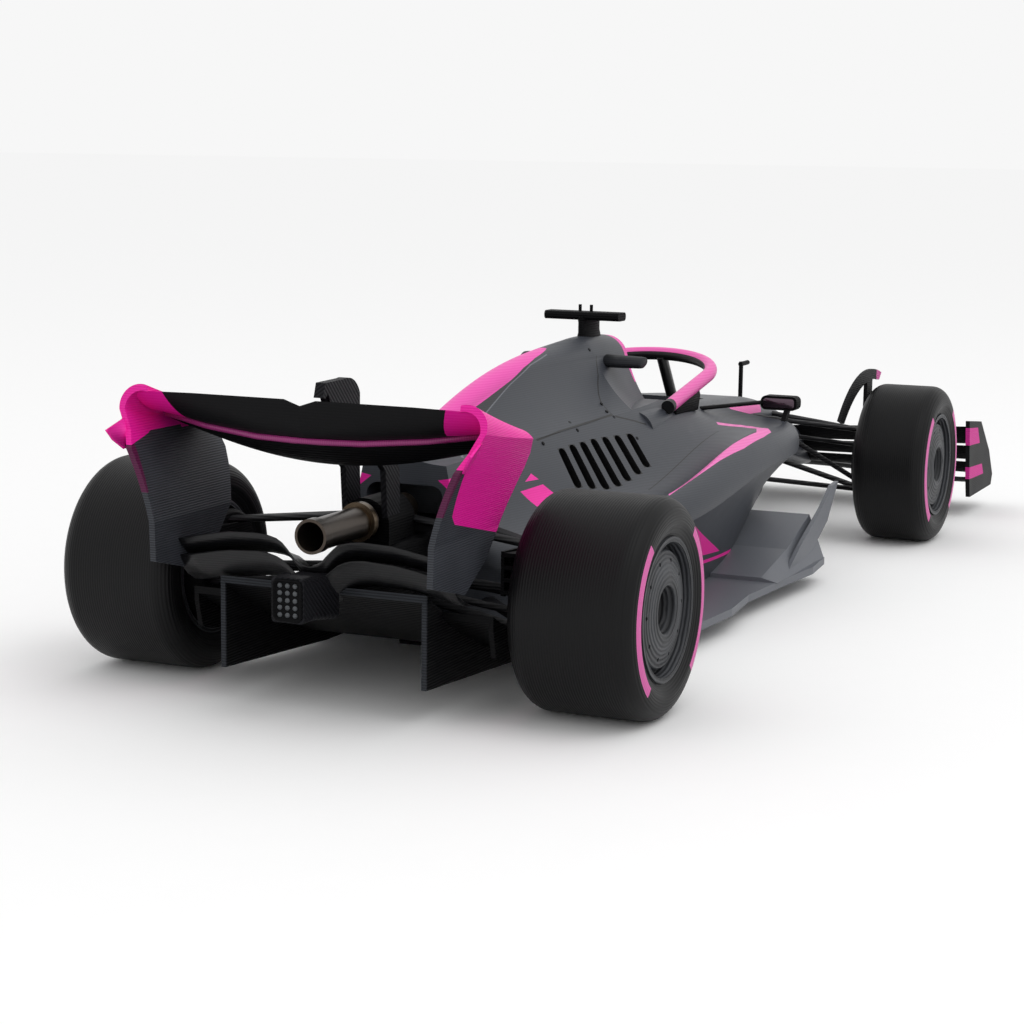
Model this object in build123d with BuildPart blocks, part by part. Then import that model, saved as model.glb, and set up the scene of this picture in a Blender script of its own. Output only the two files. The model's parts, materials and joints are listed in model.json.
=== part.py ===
"""Open wheel racing car, a printed display model at one eighteenth of full size.

The nose points along +X, the left side is +Y and the tyres stand on Z = 0.
Stations between the axles are shares of the wheelbase, from the rear axle forward.
Stations marked ahead or behind are lengths from the front or the rear axle.
"""
import os
from math import cos, hypot, radians, sin

from build123d import *

os.makedirs("parts", exist_ok=True)

# Overall layout of the car
wheelbase = 200.0
front_overhang = 69.6
rear_overhang = 33.2
front_axle_x = (wheelbase + rear_overhang - front_overhang) / 2
rear_axle_x = front_axle_x - wheelbase

# Wheels and tyres
tyre_radius = 19.4
rim_radius = 12.6
rim_wall = 0.9
front_tyre_width = 18.4
rear_tyre_width = 23.4
front_outer_y = 54.8
rear_outer_y = 56.0
tyre_shoulder = 3.6
bead_depth = 1.1
cover_radius = 10.4
cover_hole_ring = 8.6
cover_hole_radius = 0.35
pin_radius = 1.5
pin_clearance = 0.05
hub_radius = 3.4
hub_length = 9.0
hub_gap = 0.4
drum_clearance = 1.0
drum_stand_out = 2.0

# Floor, plank and diffuser
plank_half_width = 8.0
plank_bottom_z = 2.4
floor_bottom_z = 3.6
floor_thickness = 1.6
floor_top_z = floor_bottom_z + floor_thickness
floor_end_share = 0.12
diffuser_half_width = 29.4
diffuser_exit_behind = 21.5
diffuser_exit_z = 22.4
diffuser_skin = 1.2
fence_thickness = 0.9

# Cell, cockpit and bodywork
bulkhead_ahead = 14.0
cell_end_share = 0.46
cockpit_rear_share = 0.53
cockpit_bend_share = 0.63
cockpit_front_share = 0.75
cockpit_rear_half_width = 12.4
cockpit_front_half_width = 9.6
cockpit_floor_z = 11.0
deck_start_share = 0.45
deck_start_z = 42.0
deck_slope = 0.03
tail_share = 0.05

# Wings
plate_thickness = 1.1
front_endplate_y = 52.4
rear_endplate_front_behind = 5.6
rear_endplate_foot_y = 26.6
rear_waist_y = 32.2
rear_waist_z = 46.9
rear_tip_y = 29.6
rear_tip_bulge = 0.26
rear_tip_roundness = 0.22
rear_flap_top_z = 55.0

# Exhaust and rear structure
exhaust_z = 31.4
exhaust_radius = 3.05
exhaust_bore = 2.55
exhaust_tip_behind = 25.4
light_half_width = 3.1
light_bottom_z = 18.0
light_top_z = 25.7
light_depth = 3.0


def ahead_of_front(distance):
    return front_axle_x + distance


def ahead_of_rear(distance):
    return rear_axle_x + distance


def along(share):
    """Station between the axles: 0 is the rear axle and 1 the front axle."""
    return rear_axle_x + share * wheelbase


def cross_plane(x):
    """Section plane at one station: its own x is the car's Y, its own y is Z."""
    return Plane(origin=(x, 0, 0), x_dir=(0, 1, 0), z_dir=(1, 0, 0))


def side_plane(y):
    """Side view plane at one width: its own x is the car's X, its own y is Z."""
    return Plane(origin=(0, y, 0), x_dir=(1, 0, 0), z_dir=(0, -1, 0))


def bowed(start, end, bow):
    """Middle point of an arc that bows to the right of the way from start to end."""
    along = (end[0] - start[0], end[1] - start[1])
    length = hypot(along[0], along[1])
    across = (along[1] / length, -along[0] / length)
    middle = ((start[0] + end[0]) / 2, (start[1] + end[1]) / 2)
    return (middle[0] + across[0] * bow, middle[1] + across[1] * bow)


def deck_z(x):
    """Height of the joint between the engine cover and the sidepods."""
    return deck_start_z + deck_slope * (x - along(deck_start_share))


def save(piece, label):
    piece.label = label
    export_step(piece, f"parts/{label}.step")


# Tyres, wheels and uprights, one corner at a time
corners = [
    # corner, axle station, outer face, tyre width, side
    ("front_left", front_axle_x, front_outer_y, front_tyre_width, 1),
    ("front_right", front_axle_x, front_outer_y, front_tyre_width, -1),
    ("rear_left", rear_axle_x, rear_outer_y, rear_tyre_width, 1),
    ("rear_right", rear_axle_x, rear_outer_y, rear_tyre_width, -1),
]
pin_tip_depth = 5.4
drum_radius = rim_radius - rim_wall - drum_clearance
uprights = {}
for corner, axle_x, outer_y, width, side in corners:
    axle = Axis((axle_x, 0, tyre_radius), (0, 1, 0))
    profile_plane = Plane(
        origin=(axle_x, side * outer_y, tyre_radius),
        x_dir=(0, 0, 1),
        z_dir=(side, 0, 0),
    )
    wall_start = rim_radius + 2.4
    wall_end = tyre_radius - tyre_shoulder
    shoulder_out = (wall_end + tyre_shoulder * sin(radians(45)), tyre_shoulder * (1 - cos(radians(45))))
    shoulder_in = (shoulder_out[0], width - shoulder_out[1])
    with BuildPart() as tyre:
        with BuildSketch(profile_plane):
            with BuildLine():
                Polyline((rim_radius, bead_depth), (wall_start, 0), (wall_end, 0))
                ThreePointArc((wall_end, 0), shoulder_out, (tyre_radius, tyre_shoulder))
                Line((tyre_radius, tyre_shoulder), (tyre_radius, width - tyre_shoulder))
                ThreePointArc((tyre_radius, width - tyre_shoulder), shoulder_in, (wall_end, width))
                Polyline((wall_end, width), (wall_start, width), (rim_radius, width - bead_depth))
                Line((rim_radius, width - bead_depth), (rim_radius, bead_depth))
            make_face()
        revolve(axis=axle)
    save(tyre.part, f"tyre_{corner}")

    barrel_bore = rim_radius - rim_wall
    bore = pin_radius + pin_clearance
    with BuildPart() as wheel:
        with BuildSketch(profile_plane):
            with BuildLine():
                Polyline(
                    (rim_radius, 0.7),
                    (rim_radius, width - bead_depth),
                    (barrel_bore, width - bead_depth),
                    (barrel_bore, 5.2),
                    (hub_radius, 6.6),
                    (hub_radius, hub_length),
                    (bore, hub_length),
                    (bore, pin_tip_depth - 0.6),
                    (2.5, pin_tip_depth - 0.8),
                    (4.2, 1.1),
                    (4.9, 0.8),
                    (cover_radius - 0.4, 1.7),
                    (cover_radius, 2.2),
                    (cover_radius + 0.2, 3.4),
                    (barrel_bore - 0.3, 3.4),
                    (barrel_bore, 0.7),
                    close=True,
                )
            make_face()
        revolve(axis=axle)
        face_plane = Plane(
            origin=(axle_x, side * outer_y, tyre_radius), x_dir=(1, 0, 0), z_dir=(0, -side, 0)
        )
        with BuildSketch(face_plane):
            with PolarLocations(cover_hole_ring, 10):
                Circle(cover_hole_radius)
        extrude(amount=3.0, mode=Mode.SUBTRACT)
    save(wheel.part, f"wheel_{corner}")

    drum_start = hub_length + hub_gap
    drum_end = width + drum_stand_out
    with BuildPart() as upright:
        with BuildSketch(profile_plane):
            with BuildLine():
                Polyline(
                    (0, pin_tip_depth),
                    (pin_radius - 0.3, pin_tip_depth),
                    (pin_radius, pin_tip_depth + 0.3),
                    (pin_radius, drum_start),
                    (drum_radius - 1.0, drum_start),
                    (drum_radius, drum_start + 1.0),
                    (drum_radius, drum_end - 0.6),
                    (drum_radius - 0.6, drum_end),
                    (0, drum_end),
                    close=True,
                )
            make_face()
        revolve(axis=axle)
    uprights[corner] = upright.part

# Wheel deflectors: thin arched fins that stand on the front uprights inside the tyre
fin_thickness = 0.9
fin_gap = 0.7
fin_rise = 1.8
fin_top = tyre_radius + fin_rise
fin_depth = 1.7
stem_foot = drum_radius - 3.0
for corner, axle_x, outer_y, width, side in corners[:2]:
    fin_y = side * (outer_y - width - fin_gap)
    fin_plane = Plane(origin=(axle_x, fin_y, tyre_radius), x_dir=(1, 0, 0), z_dir=(0, -1, 0))
    with BuildPart() as fin:
        with BuildSketch(fin_plane):
            with BuildLine():
                ThreePointArc((-26.0, fin_top - 8.7), (-13.0, fin_top - 0.6), (11.0, fin_top))
                Line((11.0, fin_top), (9.0, fin_top - fin_depth))
                ThreePointArc((9.0, fin_top - fin_depth), (-12.0, fin_top - 3.6), (-22.5, fin_top - 9.7))
                Line((-22.5, fin_top - 9.7), (-26.0, fin_top - 8.7))
            make_face()
            with Locations((0, (fin_top + stem_foot) / 2)):
                Rectangle(5.0, fin_top - stem_foot)
        extrude(amount=side * fin_thickness)
    uprights[corner] = uprights[corner] + fin.part

# Brake duct winglets: a stack of small planes on the inner face of each rear upright
winglet_heights = [20.4, 22.6, 24.8, 27.0]
winglet_span = 2.2
for corner, axle_x, outer_y, width, side in corners[2:]:
    duct_y = outer_y - width - drum_stand_out
    with BuildPart() as duct:
        for height in winglet_heights:
            with BuildSketch(side_plane(side * duct_y)):
                with BuildLine():
                    Polyline(
                        (axle_x - 8.6, height + 0.7),
                        (axle_x - 8.6, height + 1.4),
                        (axle_x - 2.0, height + 0.8),
                        (axle_x - 2.0, height),
                        close=True,
                    )
                make_face()
            extrude(amount=side * winglet_span)
        with BuildSketch(side_plane(side * (duct_y - winglet_span))):
            with BuildLine():
                Polyline(
                    (axle_x - 8.6, winglet_heights[0] + 0.4),
                    (axle_x - 8.6, winglet_heights[-1] + 1.6),
                    (axle_x - 2.0, winglet_heights[-1] + 1.2),
                    (axle_x - 2.0, winglet_heights[0]),
                    close=True,
                )
            make_face()
        extrude(amount=side * 0.6)
    uprights[corner] = uprights[corner] + duct.part

for corner in uprights:
    save(uprights[corner], f"upright_{corner}")

# Volume below the diffuser roof, which everything at the tail sits on
roof_start = (along(floor_end_share), floor_top_z)
roof_end = (ahead_of_rear(-diffuser_exit_behind), diffuser_exit_z)
roof_bow = 2.6
with BuildPart() as under_roof:
    with BuildSketch(side_plane(0)):
        with BuildLine():
            Line((ahead_of_front(0), floor_top_z), roof_start)
            ThreePointArc(roof_start, bowed(roof_start, roof_end, -roof_bow), roof_end)
            Polyline(
                roof_end, (roof_end[0], -5.0), (ahead_of_front(0), -5.0), (ahead_of_front(0), floor_top_z)
            )
        make_face()
    extrude(amount=70, both=True)

# Nose cone and survival cell
cell_sections = [
    # station, half width low, half width high, bottom, top, corner radius
    (ahead_of_front(bulkhead_ahead), 9.0, 7.6, 15.2, 29.6, 3.2),
    (along(0.96), 10.6, 9.4, 15.6, 34.2, 3.8),
    (along(0.86), 12.4, 12.0, 12.5, 36.6, 4.2),
    (along(0.76), 14.4, 15.0, 8.6, 38.2, 4.4),
    (along(0.64), 16.4, 17.6, floor_top_z, 40.0, 4.4),
    (along(cell_end_share), 17.0, 18.0, floor_top_z, 41.4, 4.4),
]
with BuildPart() as monocoque:
    for x, w_low, w_high, z_low, z_high, corner_radius in cell_sections:
        with BuildSketch(cross_plane(x)):
            with BuildLine():
                Polyline((-w_low, z_low), (w_low, z_low), (w_high, z_high), (-w_high, z_high), close=True)
            make_face()
            fillet(vertices(), corner_radius)
    loft()
    add(under_roof.part, mode=Mode.SUBTRACT)
    cell_solid = monocoque.part
    with BuildSketch(Plane.XY.offset(cockpit_floor_z)):
        with BuildLine():
            Polyline(
                (along(cockpit_rear_share), -cockpit_rear_half_width),
                (along(cockpit_bend_share), -cockpit_rear_half_width),
                (along(cockpit_front_share), -cockpit_front_half_width),
                (along(cockpit_front_share), cockpit_front_half_width),
                (along(cockpit_bend_share), cockpit_rear_half_width),
                (along(cockpit_rear_share), cockpit_rear_half_width),
                close=True,
            )
        make_face()
        fillet(vertices(), 4.0)
    extrude(amount=50, mode=Mode.SUBTRACT)

nose_sections = [
    # station, half width low, half width high, bottom, top, corner radius
    (ahead_of_front(66.0), 4.4, 3.6, 9.2, 12.0, 1.2),
    (ahead_of_front(52.0), 5.6, 4.6, 9.6, 17.2, 1.9),
    (ahead_of_front(32.0), 7.4, 6.2, 12.4, 24.4, 2.6),
    (ahead_of_front(bulkhead_ahead), 9.0, 7.6, 15.2, 29.6, 3.2),
]
with BuildPart() as nose:
    for x, w_low, w_high, z_low, z_high, corner_radius in nose_sections:
        with BuildSketch(cross_plane(x)):
            with BuildLine():
                Polyline((-w_low, z_low), (w_low, z_low), (w_high, z_high), (-w_high, z_high), close=True)
            make_face()
            fillet(vertices(), corner_radius)
    loft()

# Engine cover and airbox stand on the deck joint
cover_sections = [
    # station, half width at the deck, spine height, spine radius, hollow of the flank
    (along(deck_start_share), 13.6, 56.6, 5.2, 0.8),
    (along(0.34), 12.3, 55.4, 3.8, 1.2),
    (along(0.23), 10.8, 52.6, 2.9, 1.0),
    (along(0.13), 9.2, 47.6, 2.4, 0.6),
    (along(tail_share), 8.4, 42.0, 2.0, 0.2),
]
spine_angle = radians(12)


def cover_outline(x, w, z_base, z_spine, r_spine, hollow):
    """Closed outline of the engine cover: deck line, hollow flanks and round spine."""
    knee = (r_spine * cos(spine_angle), z_spine - r_spine + r_spine * sin(spine_angle))
    start = (w, z_base)
    middle = bowed(start, knee, -hollow)
    Line((-w, z_base), start)
    ThreePointArc(start, middle, knee)
    ThreePointArc(knee, (0, z_spine), (-knee[0], knee[1]))
    ThreePointArc((-knee[0], knee[1]), (-middle[0], middle[1]), (-w, z_base))


with BuildPart() as engine_cover:
    for x, w, z_spine, r_spine, hollow in cover_sections:
        with BuildSketch(cross_plane(x)):
            with BuildLine():
                cover_outline(x, w, deck_z(x), z_spine, r_spine, hollow)
            make_face()
    loft()

airbox_front_share = 0.567
first = cover_sections[0]
airbox_sections = [
    # station, half width at the base, base height, spine height, spine radius, hollow
    (along(airbox_front_share), 12.2, 39.0, 55.4, 5.0, 0.9),
    (along(0.51), 13.2, 39.0, 56.5, 5.4, 0.9),
    (first[0], first[1], deck_z(first[0]), first[2], first[3], first[4]),
]
intake_z = 50.6
mouth_lean = -0.1
mouth_plane = Plane(
    origin=(along(airbox_front_share) - 4.6, 0, intake_z), x_dir=(0, 1, 0), z_dir=(1, 0, mouth_lean)
)
with BuildPart() as airbox:
    for x, w, z_base, z_spine, r_spine, hollow in airbox_sections:
        with BuildSketch(cross_plane(x)):
            with BuildLine():
                cover_outline(x, w, z_base, z_spine, r_spine, hollow)
            make_face()
    loft()
    split(bisect_by=mouth_plane, keep=Keep.BOTTOM)
    with BuildSketch(mouth_plane):
        Ellipse(4.0, 3.4)
    extrude(amount=-7.0, mode=Mode.SUBTRACT)
    add(cell_solid, mode=Mode.SUBTRACT)

# Sidepods, undercut below, with a gully on top that ramps down to the outlet at the tail
pod_sections = [
    # station, deck y, deck z, flank y, flank z, shoulder y, shoulder z, widest y, widest z, foot y, foot z
    (along(0.70), 15.0, 38.2, 20.0, 37.2, 31.5, 35.6, 35.6, 30.4, 27.0, 18.6),
    (along(0.61), 15.6, 39.4, 20.0, 37.4, 33.0, 35.6, 38.0, 29.4, 27.4, 10.6),
    (along(0.49), 14.0, 42.2, 20.0, 36.4, 32.2, 33.8, 37.6, 27.4, 28.0, floor_top_z),
    (along(0.37), 12.6, 41.5, 20.4, 31.6, 31.6, 29.4, 35.2, 23.2, 26.6, floor_top_z),
    (along(0.24), 10.9, 40.7, 16.6, 31.2, 26.4, 26.4, 28.8, 20.0, 22.5, floor_top_z),
    (along(0.12), 9.1, 40.0, 12.6, 31.2, 18.6, 25.2, 20.0, 18.0, 16.0, floor_top_z),
    (along(tail_share), 8.4, 39.6, 9.7, 33.4, 11.6, 29.0, 13.0, 23.0, 11.6, floor_top_z),
]
louvre_table = [
    # top share of the wheelbase, top y, top z, bottom share, bottom y, bottom z
    (0.264, 12.7, 38.0, 0.2585, 17.6, 30.7),
    (0.287, 13.2, 38.3, 0.2805, 18.8, 30.0),
    (0.3095, 13.7, 38.4, 0.3025, 20.1, 29.4),
    (0.333, 14.1, 38.5, 0.325, 20.9, 29.5),
    (0.357, 14.6, 38.3, 0.3485, 21.2, 30.0),
    (0.382, 15.3, 38.1, 0.374, 21.4, 30.7),
    (0.408, 16.0, 37.8, 0.398, 21.5, 31.6),
]
louvre_width = 2.6
louvre_depth = 2.4
inlet_depth = 14.0
outlet_depth = 14.0
outlet_half_width = 7.8
outlet_bottom_z = 24.0
outlet_top_z = 35.8
outlet_middle_z = (outlet_bottom_z + outlet_top_z) / 2
deck_plane = Plane(
    origin=(along(deck_start_share), 0, deck_start_z), x_dir=(1, 0, deck_slope), z_dir=(-deck_slope, 0, 1)
)
tail_x = along(tail_share)
sidepods = {}
for side_name, side in (("left", 1), ("right", -1)):
    with BuildPart() as sidepod:
        for x, y_deck, z_deck, y_flank, z_flank, y_sh, z_sh, y_wide, z_wide, y_foot, z_foot in pod_sections:
            rise = 0.8
            lift = rise * (y_flank - y_deck) / (z_deck - z_flank)
            top = (side * (y_deck - lift), z_deck + rise)
            flank = (side * y_flank, z_flank)
            fall = (side * (y_flank - y_deck), z_flank - z_deck)
            shoulder = (side * y_sh, z_sh)
            widest = (side * y_wide, z_wide)
            foot = (side * y_foot, z_foot)
            with BuildSketch(cross_plane(x)):
                with BuildLine():
                    Polyline(foot, (0, z_foot), (0, top[1]), top, flank)
                    TangentArc(flank, shoulder, tangent=fall)
                    ThreePointArc(shoulder, bowed(shoulder, widest, side * -1.4), widest)
                    ThreePointArc(widest, bowed(widest, foot, side * 1.4), foot)
                make_face()
        loft()
        split(bisect_by=deck_plane, keep=Keep.BOTTOM)
        add(cell_solid, mode=Mode.SUBTRACT)
        add(airbox.part, mode=Mode.SUBTRACT)
        add(under_roof.part, mode=Mode.SUBTRACT)
        with BuildSketch(cross_plane(along(0.70))):
            with BuildLine():
                Polyline(
                    (side * 19.4, 22.0),
                    (side * 28.0, 22.0),
                    (side * 33.4, 30.2),
                    (side * 30.6, 33.6),
                    (side * 19.4, 35.0),
                    close=True,
                )
            make_face()
            fillet(vertices(), 1.6)
        extrude(amount=-inlet_depth, taper=8, mode=Mode.SUBTRACT)
        with BuildSketch(cross_plane(tail_x)):
            with Locations((0, outlet_middle_z)):
                RectangleRounded(2 * outlet_half_width, outlet_top_z - outlet_bottom_z, 2.4)
        extrude(amount=outlet_depth, mode=Mode.SUBTRACT)
        for share, y_top, z_top, low_share, y_low, z_low in louvre_table:
            upper = Vector(along(share), side * y_top, z_top)
            lower = Vector(along(low_share), side * y_low, z_low)
            slot_plane = Plane(
                origin=(upper + lower) / 2,
                x_dir=upper - lower,
                z_dir=(0, side * (z_top - z_low), y_low - y_top),
            )
            with BuildSketch(slot_plane):
                SlotCenterToCenter((upper - lower).length - louvre_width, louvre_width)
            extrude(amount=louvre_depth, both=True, mode=Mode.SUBTRACT)
    sidepods[side] = sidepod.part.solids().sort_by(SortBy.VOLUME)[-1]
    save(sidepods[side], f"sidepod_{side_name}")

# Floor, plank, tunnel inlets and diffuser
floor_edge = [
    # share of the wheelbase, half width
    (0.685, 43.4),
    (0.62, 44.6),
    (0.535, 43.0),
    (0.435, 41.6),
    (0.36, 43.0),
    (0.29, 42.0),
    (0.17, 40.0),
    (0.13, diffuser_half_width),
    (floor_end_share, diffuser_half_width),
]
with BuildPart() as floor:
    with BuildSketch(Plane.XY.offset(floor_bottom_z)):
        with BuildLine():
            left_edge = [(along(share), y) for share, y in floor_edge]
            right_edge = [(along(share), -y) for share, y in reversed(floor_edge)]
            Polyline(*left_edge, *right_edge, close=True)
        make_face()
    extrude(amount=floor_thickness)

with BuildPart() as plank:
    with BuildSketch(Plane.XY.offset(plank_bottom_z)):
        with BuildLine():
            Polyline(
                (along(0.67), -plank_half_width + 4),
                (along(0.64), -plank_half_width),
                (along(floor_end_share), -plank_half_width),
                (along(floor_end_share), plank_half_width),
                (along(0.64), plank_half_width),
                (along(0.67), plank_half_width - 4),
                close=True,
            )
        make_face()
    extrude(amount=floor_bottom_z - plank_bottom_z)

tunnel_inner_y = 19.0
tunnel_top_y = 39.5
tunnel_foot_y = 43.2
tunnel_wall = 1.1
tunnel_rise = [
    # share of the wheelbase, height over the floor
    (0.51, 0.9),
    (0.60, 4.2),
    (0.685, 9.6),
]
strake_widths = [24.0, 31.0]
vane_outline = [
    # share of the wheelbase, height
    (0.56, floor_top_z),
    (0.63, floor_top_z),
    (0.715, 12.6),
    (0.755, 20.8),
    (0.73, 20.4),
    (0.69, 16.2),
    (0.61, 10.0),
]
with BuildPart() as tunnel_air:
    for side in (1, -1):
        for share, height in tunnel_rise[1:]:
            with BuildSketch(cross_plane(along(share))):
                with BuildLine():
                    Polyline(
                        (0, floor_top_z),
                        (side * (tunnel_foot_y - tunnel_wall), floor_top_z),
                        (side * (tunnel_top_y - 0.6 * tunnel_wall), floor_top_z + height - tunnel_wall),
                        (0, floor_top_z + height - tunnel_wall),
                        close=True,
                    )
                make_face()
        loft()
with BuildPart() as floor_inlets:
    for side in (1, -1):
        for share, height in tunnel_rise:
            with BuildSketch(cross_plane(along(share))):
                with BuildLine():
                    Polyline(
                        (side * tunnel_inner_y, floor_top_z),
                        (side * tunnel_foot_y, floor_top_z),
                        (side * tunnel_top_y, floor_top_z + height),
                        (side * tunnel_inner_y, floor_top_z + height),
                        close=True,
                    )
                make_face()
        loft(ruled=True)
    add(tunnel_air.part, mode=Mode.SUBTRACT)
    for side in (1, -1):
        for width in strake_widths:
            with BuildSketch(side_plane(side * width)):
                with BuildLine():
                    Polyline(
                        (along(0.60), floor_top_z),
                        (along(0.60), floor_top_z + tunnel_rise[1][1] - 0.4),
                        (along(0.685), floor_top_z + tunnel_rise[2][1] - 0.4),
                        (along(0.675), floor_top_z),
                        close=True,
                    )
                make_face()
            extrude(amount=-side * fence_thickness)
        with BuildSketch(side_plane(side * (tunnel_foot_y - 2.0))):
            with BuildLine():
                Polyline(*[(along(share), z) for share, z in vane_outline], close=True)
            make_face()
        extrude(amount=-side * fence_thickness)
    add(cell_solid, mode=Mode.SUBTRACT)
    add(sidepods[1], mode=Mode.SUBTRACT)
    add(sidepods[-1], mode=Mode.SUBTRACT)

skin_start = (roof_start[0], floor_bottom_z)
skin_end = (roof_end[0], diffuser_exit_z - diffuser_skin)
inner_fence_y = 20.0
outer_exit_behind = 15.0
outer_wall_z = 13.0
fence_table = [
    # inner face y, bottom at the exit, bottom at the floor
    (-diffuser_half_width, outer_wall_z, floor_bottom_z),
    (-inner_fence_y, 6.0, floor_bottom_z),
    (inner_fence_y - fence_thickness, 6.0, floor_bottom_z),
    (diffuser_half_width - fence_thickness, outer_wall_z, floor_bottom_z),
]
with BuildPart() as diffuser:
    with BuildSketch(side_plane(0)):
        with BuildLine():
            ThreePointArc(roof_start, bowed(roof_start, roof_end, -roof_bow), roof_end)
            Line(roof_end, skin_end)
            ThreePointArc(skin_end, bowed(skin_end, skin_start, roof_bow), skin_start)
            Line(skin_start, roof_start)
        make_face()
    extrude(amount=diffuser_half_width, both=True)
    for y, exit_z, start_z in fence_table:
        with BuildSketch(side_plane(y)):
            with BuildLine():
                ThreePointArc(skin_start, bowed(skin_start, skin_end, -roof_bow), skin_end)
                Polyline(skin_end, (skin_end[0], exit_z), (skin_start[0] - 8.0, start_z), skin_start)
            make_face()
        extrude(amount=-fence_thickness)
    for side in (1, -1):
        with BuildSketch(side_plane(side * inner_fence_y)):
            with BuildLine():
                Polyline(
                    (ahead_of_rear(-outer_exit_behind), 30.0),
                    (ahead_of_rear(-outer_exit_behind), 16.0),
                    (ahead_of_rear(-outer_exit_behind + 4.0), 0.0),
                    (ahead_of_rear(-diffuser_exit_behind - 5.0), 0.0),
                    (ahead_of_rear(-diffuser_exit_behind - 5.0), 30.0),
                    close=True,
                )
            make_face()
        extrude(amount=-side * diffuser_half_width, mode=Mode.SUBTRACT)

# Gearbox casing, crash structure and rain light, from the outlet to the tail
casing_start = tail_x + outlet_depth
casing_end = ahead_of_rear(-16.0)
casing_sections = [
    # station, half width, bottom, top
    (casing_start, 7.0, 12.0, 28.2),
    (tail_x - 8.0, 6.6, 12.0, 27.6),
    (casing_end, 3.6, 16.0, 25.4),
]
with BuildPart() as gearbox_casing:
    for x, w, z_low, z_high in casing_sections:
        with BuildSketch(cross_plane(x)):
            with Locations((0, (z_low + z_high) / 2)):
                RectangleRounded(2 * w, z_high - z_low, 1.2)
    loft()
    add(under_roof.part, mode=Mode.SUBTRACT)
    add(sidepods[1], mode=Mode.SUBTRACT)
    add(sidepods[-1], mode=Mode.SUBTRACT)
casing_body = gearbox_casing.part.solids().sort_by(SortBy.VOLUME)[-1]

light_front = ahead_of_rear(-rear_overhang + light_depth)
crash_sections = [
    # station, half width, bottom, top
    (casing_end, 3.6, 16.0, 25.4),
    (light_front, light_half_width, light_bottom_z, 25.2),
]
with BuildPart() as crash_structure:
    for x, w, z_low, z_high in crash_sections:
        with BuildSketch(cross_plane(x)):
            with Locations((0, (z_low + z_high) / 2)):
                RectangleRounded(2 * w, z_high - z_low, 1.2)
    loft()
    add(under_roof.part, mode=Mode.SUBTRACT)

with BuildPart() as rain_light:
    with BuildSketch(cross_plane(light_front)):
        with Locations((0, (light_bottom_z + light_top_z) / 2)):
            RectangleRounded(2 * light_half_width, light_top_z - light_bottom_z, 0.6)
    extrude(amount=-light_depth)

# Exhaust pipe with a collar and a tip ring, held in a fairing on the casing
pipe_start = tail_x
pipe_end = ahead_of_rear(-exhaust_tip_behind)
pipe_length = pipe_start - pipe_end
pipe_plane = Plane(origin=(pipe_start, 0, exhaust_z), x_dir=(-1, 0, 0), z_dir=(0, -1, 0))
collar_start = 17.0
with BuildPart() as exhaust:
    with BuildSketch(pipe_plane):
        with BuildLine():
            Polyline(
                (0, exhaust_bore),
                (0, exhaust_radius - 0.25),
                (collar_start, exhaust_radius - 0.25),
                (collar_start, exhaust_radius + 0.5),
                (collar_start + 1.6, exhaust_radius + 0.5),
                (collar_start + 1.6, exhaust_radius - 0.25),
                (pipe_length - 2.2, exhaust_radius - 0.25),
                (pipe_length - 2.2, exhaust_radius),
                (pipe_length, exhaust_radius),
                (pipe_length, exhaust_bore),
                close=True,
            )
        make_face()
    revolve(axis=Axis((0, 0, exhaust_z), (1, 0, 0)))

fairing_half_width = 4.8
fairing_rise = 3.9
fairing_start = ahead_of_rear(4.6)
fairing_length = 10.2
with BuildPart() as exhaust_fairing:
    with BuildSketch(cross_plane(fairing_start)):
        with BuildLine():
            Polyline(
                (-fairing_half_width, exhaust_z),
                (-fairing_half_width, 24.0),
                (fairing_half_width, 24.0),
                (fairing_half_width, exhaust_z),
            )
            ThreePointArc(
                (fairing_half_width, exhaust_z),
                (0, exhaust_z + fairing_rise),
                (-fairing_half_width, exhaust_z),
            )
        make_face()
        with Locations((0, exhaust_z)):
            Circle(exhaust_radius - 0.25, mode=Mode.SUBTRACT)
    extrude(amount=-fairing_length)
    add(casing_body, mode=Mode.SUBTRACT)
    add(exhaust.part, mode=Mode.SUBTRACT)
fairing_body = exhaust_fairing.part.solids().sort_by(SortBy.VOLUME)[-1]

# Rear wing: endplates with rolled tips, main plane, flap, pylons and beam wing
flap_tail_behind = rear_overhang - 4.2
rolled_sections = [
    # station, height of the rolled tip
    (ahead_of_rear(-rear_endplate_front_behind + 1.4), 48.8),
    (ahead_of_rear(-18.0), rear_flap_top_z - 2.6),
    (ahead_of_rear(-rear_overhang), rear_flap_top_z + 2.2),
]
endplate_outline = [
    # distance behind the rear axle, height
    (rear_overhang - 12.6, 23.0),
    (rear_endplate_front_behind + 7.0, 27.8),
    (rear_endplate_front_behind + 2.4, 32.8),
    (rear_endplate_front_behind, 39.0),
    (rear_endplate_front_behind - 1.0, 42.6),
    (rear_endplate_front_behind - 0.6, 45.4),
    (rear_endplate_front_behind + 1.6, 48.2),
    (rear_endplate_front_behind + 7.0, 60.0),
    (rear_overhang - 5.6, 60.0),
    (rear_overhang - 4.0, 55.6),
    (rear_overhang - 2.2, rear_waist_z + 1.4),
    (rear_overhang, rear_waist_z - 1.6),
    (rear_overhang, 26.2),
]


def rolled_points(z_top, inset, side):
    """Points of one face of an endplate section: foot, bend, waist, shoulder and tip."""
    rise = z_top - rear_waist_z
    points = [
        (rear_endplate_foot_y - inset, 20.0),
        (rear_endplate_foot_y + 0.4 - inset, 33.0),
        (rear_waist_y - inset, rear_waist_z),
        (rear_waist_y + rear_tip_bulge * rise - inset, rear_waist_z + 0.5 * rise),
        (rear_tip_y, z_top - inset),
    ]
    return [(side * y, z) for y, z in points]


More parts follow.
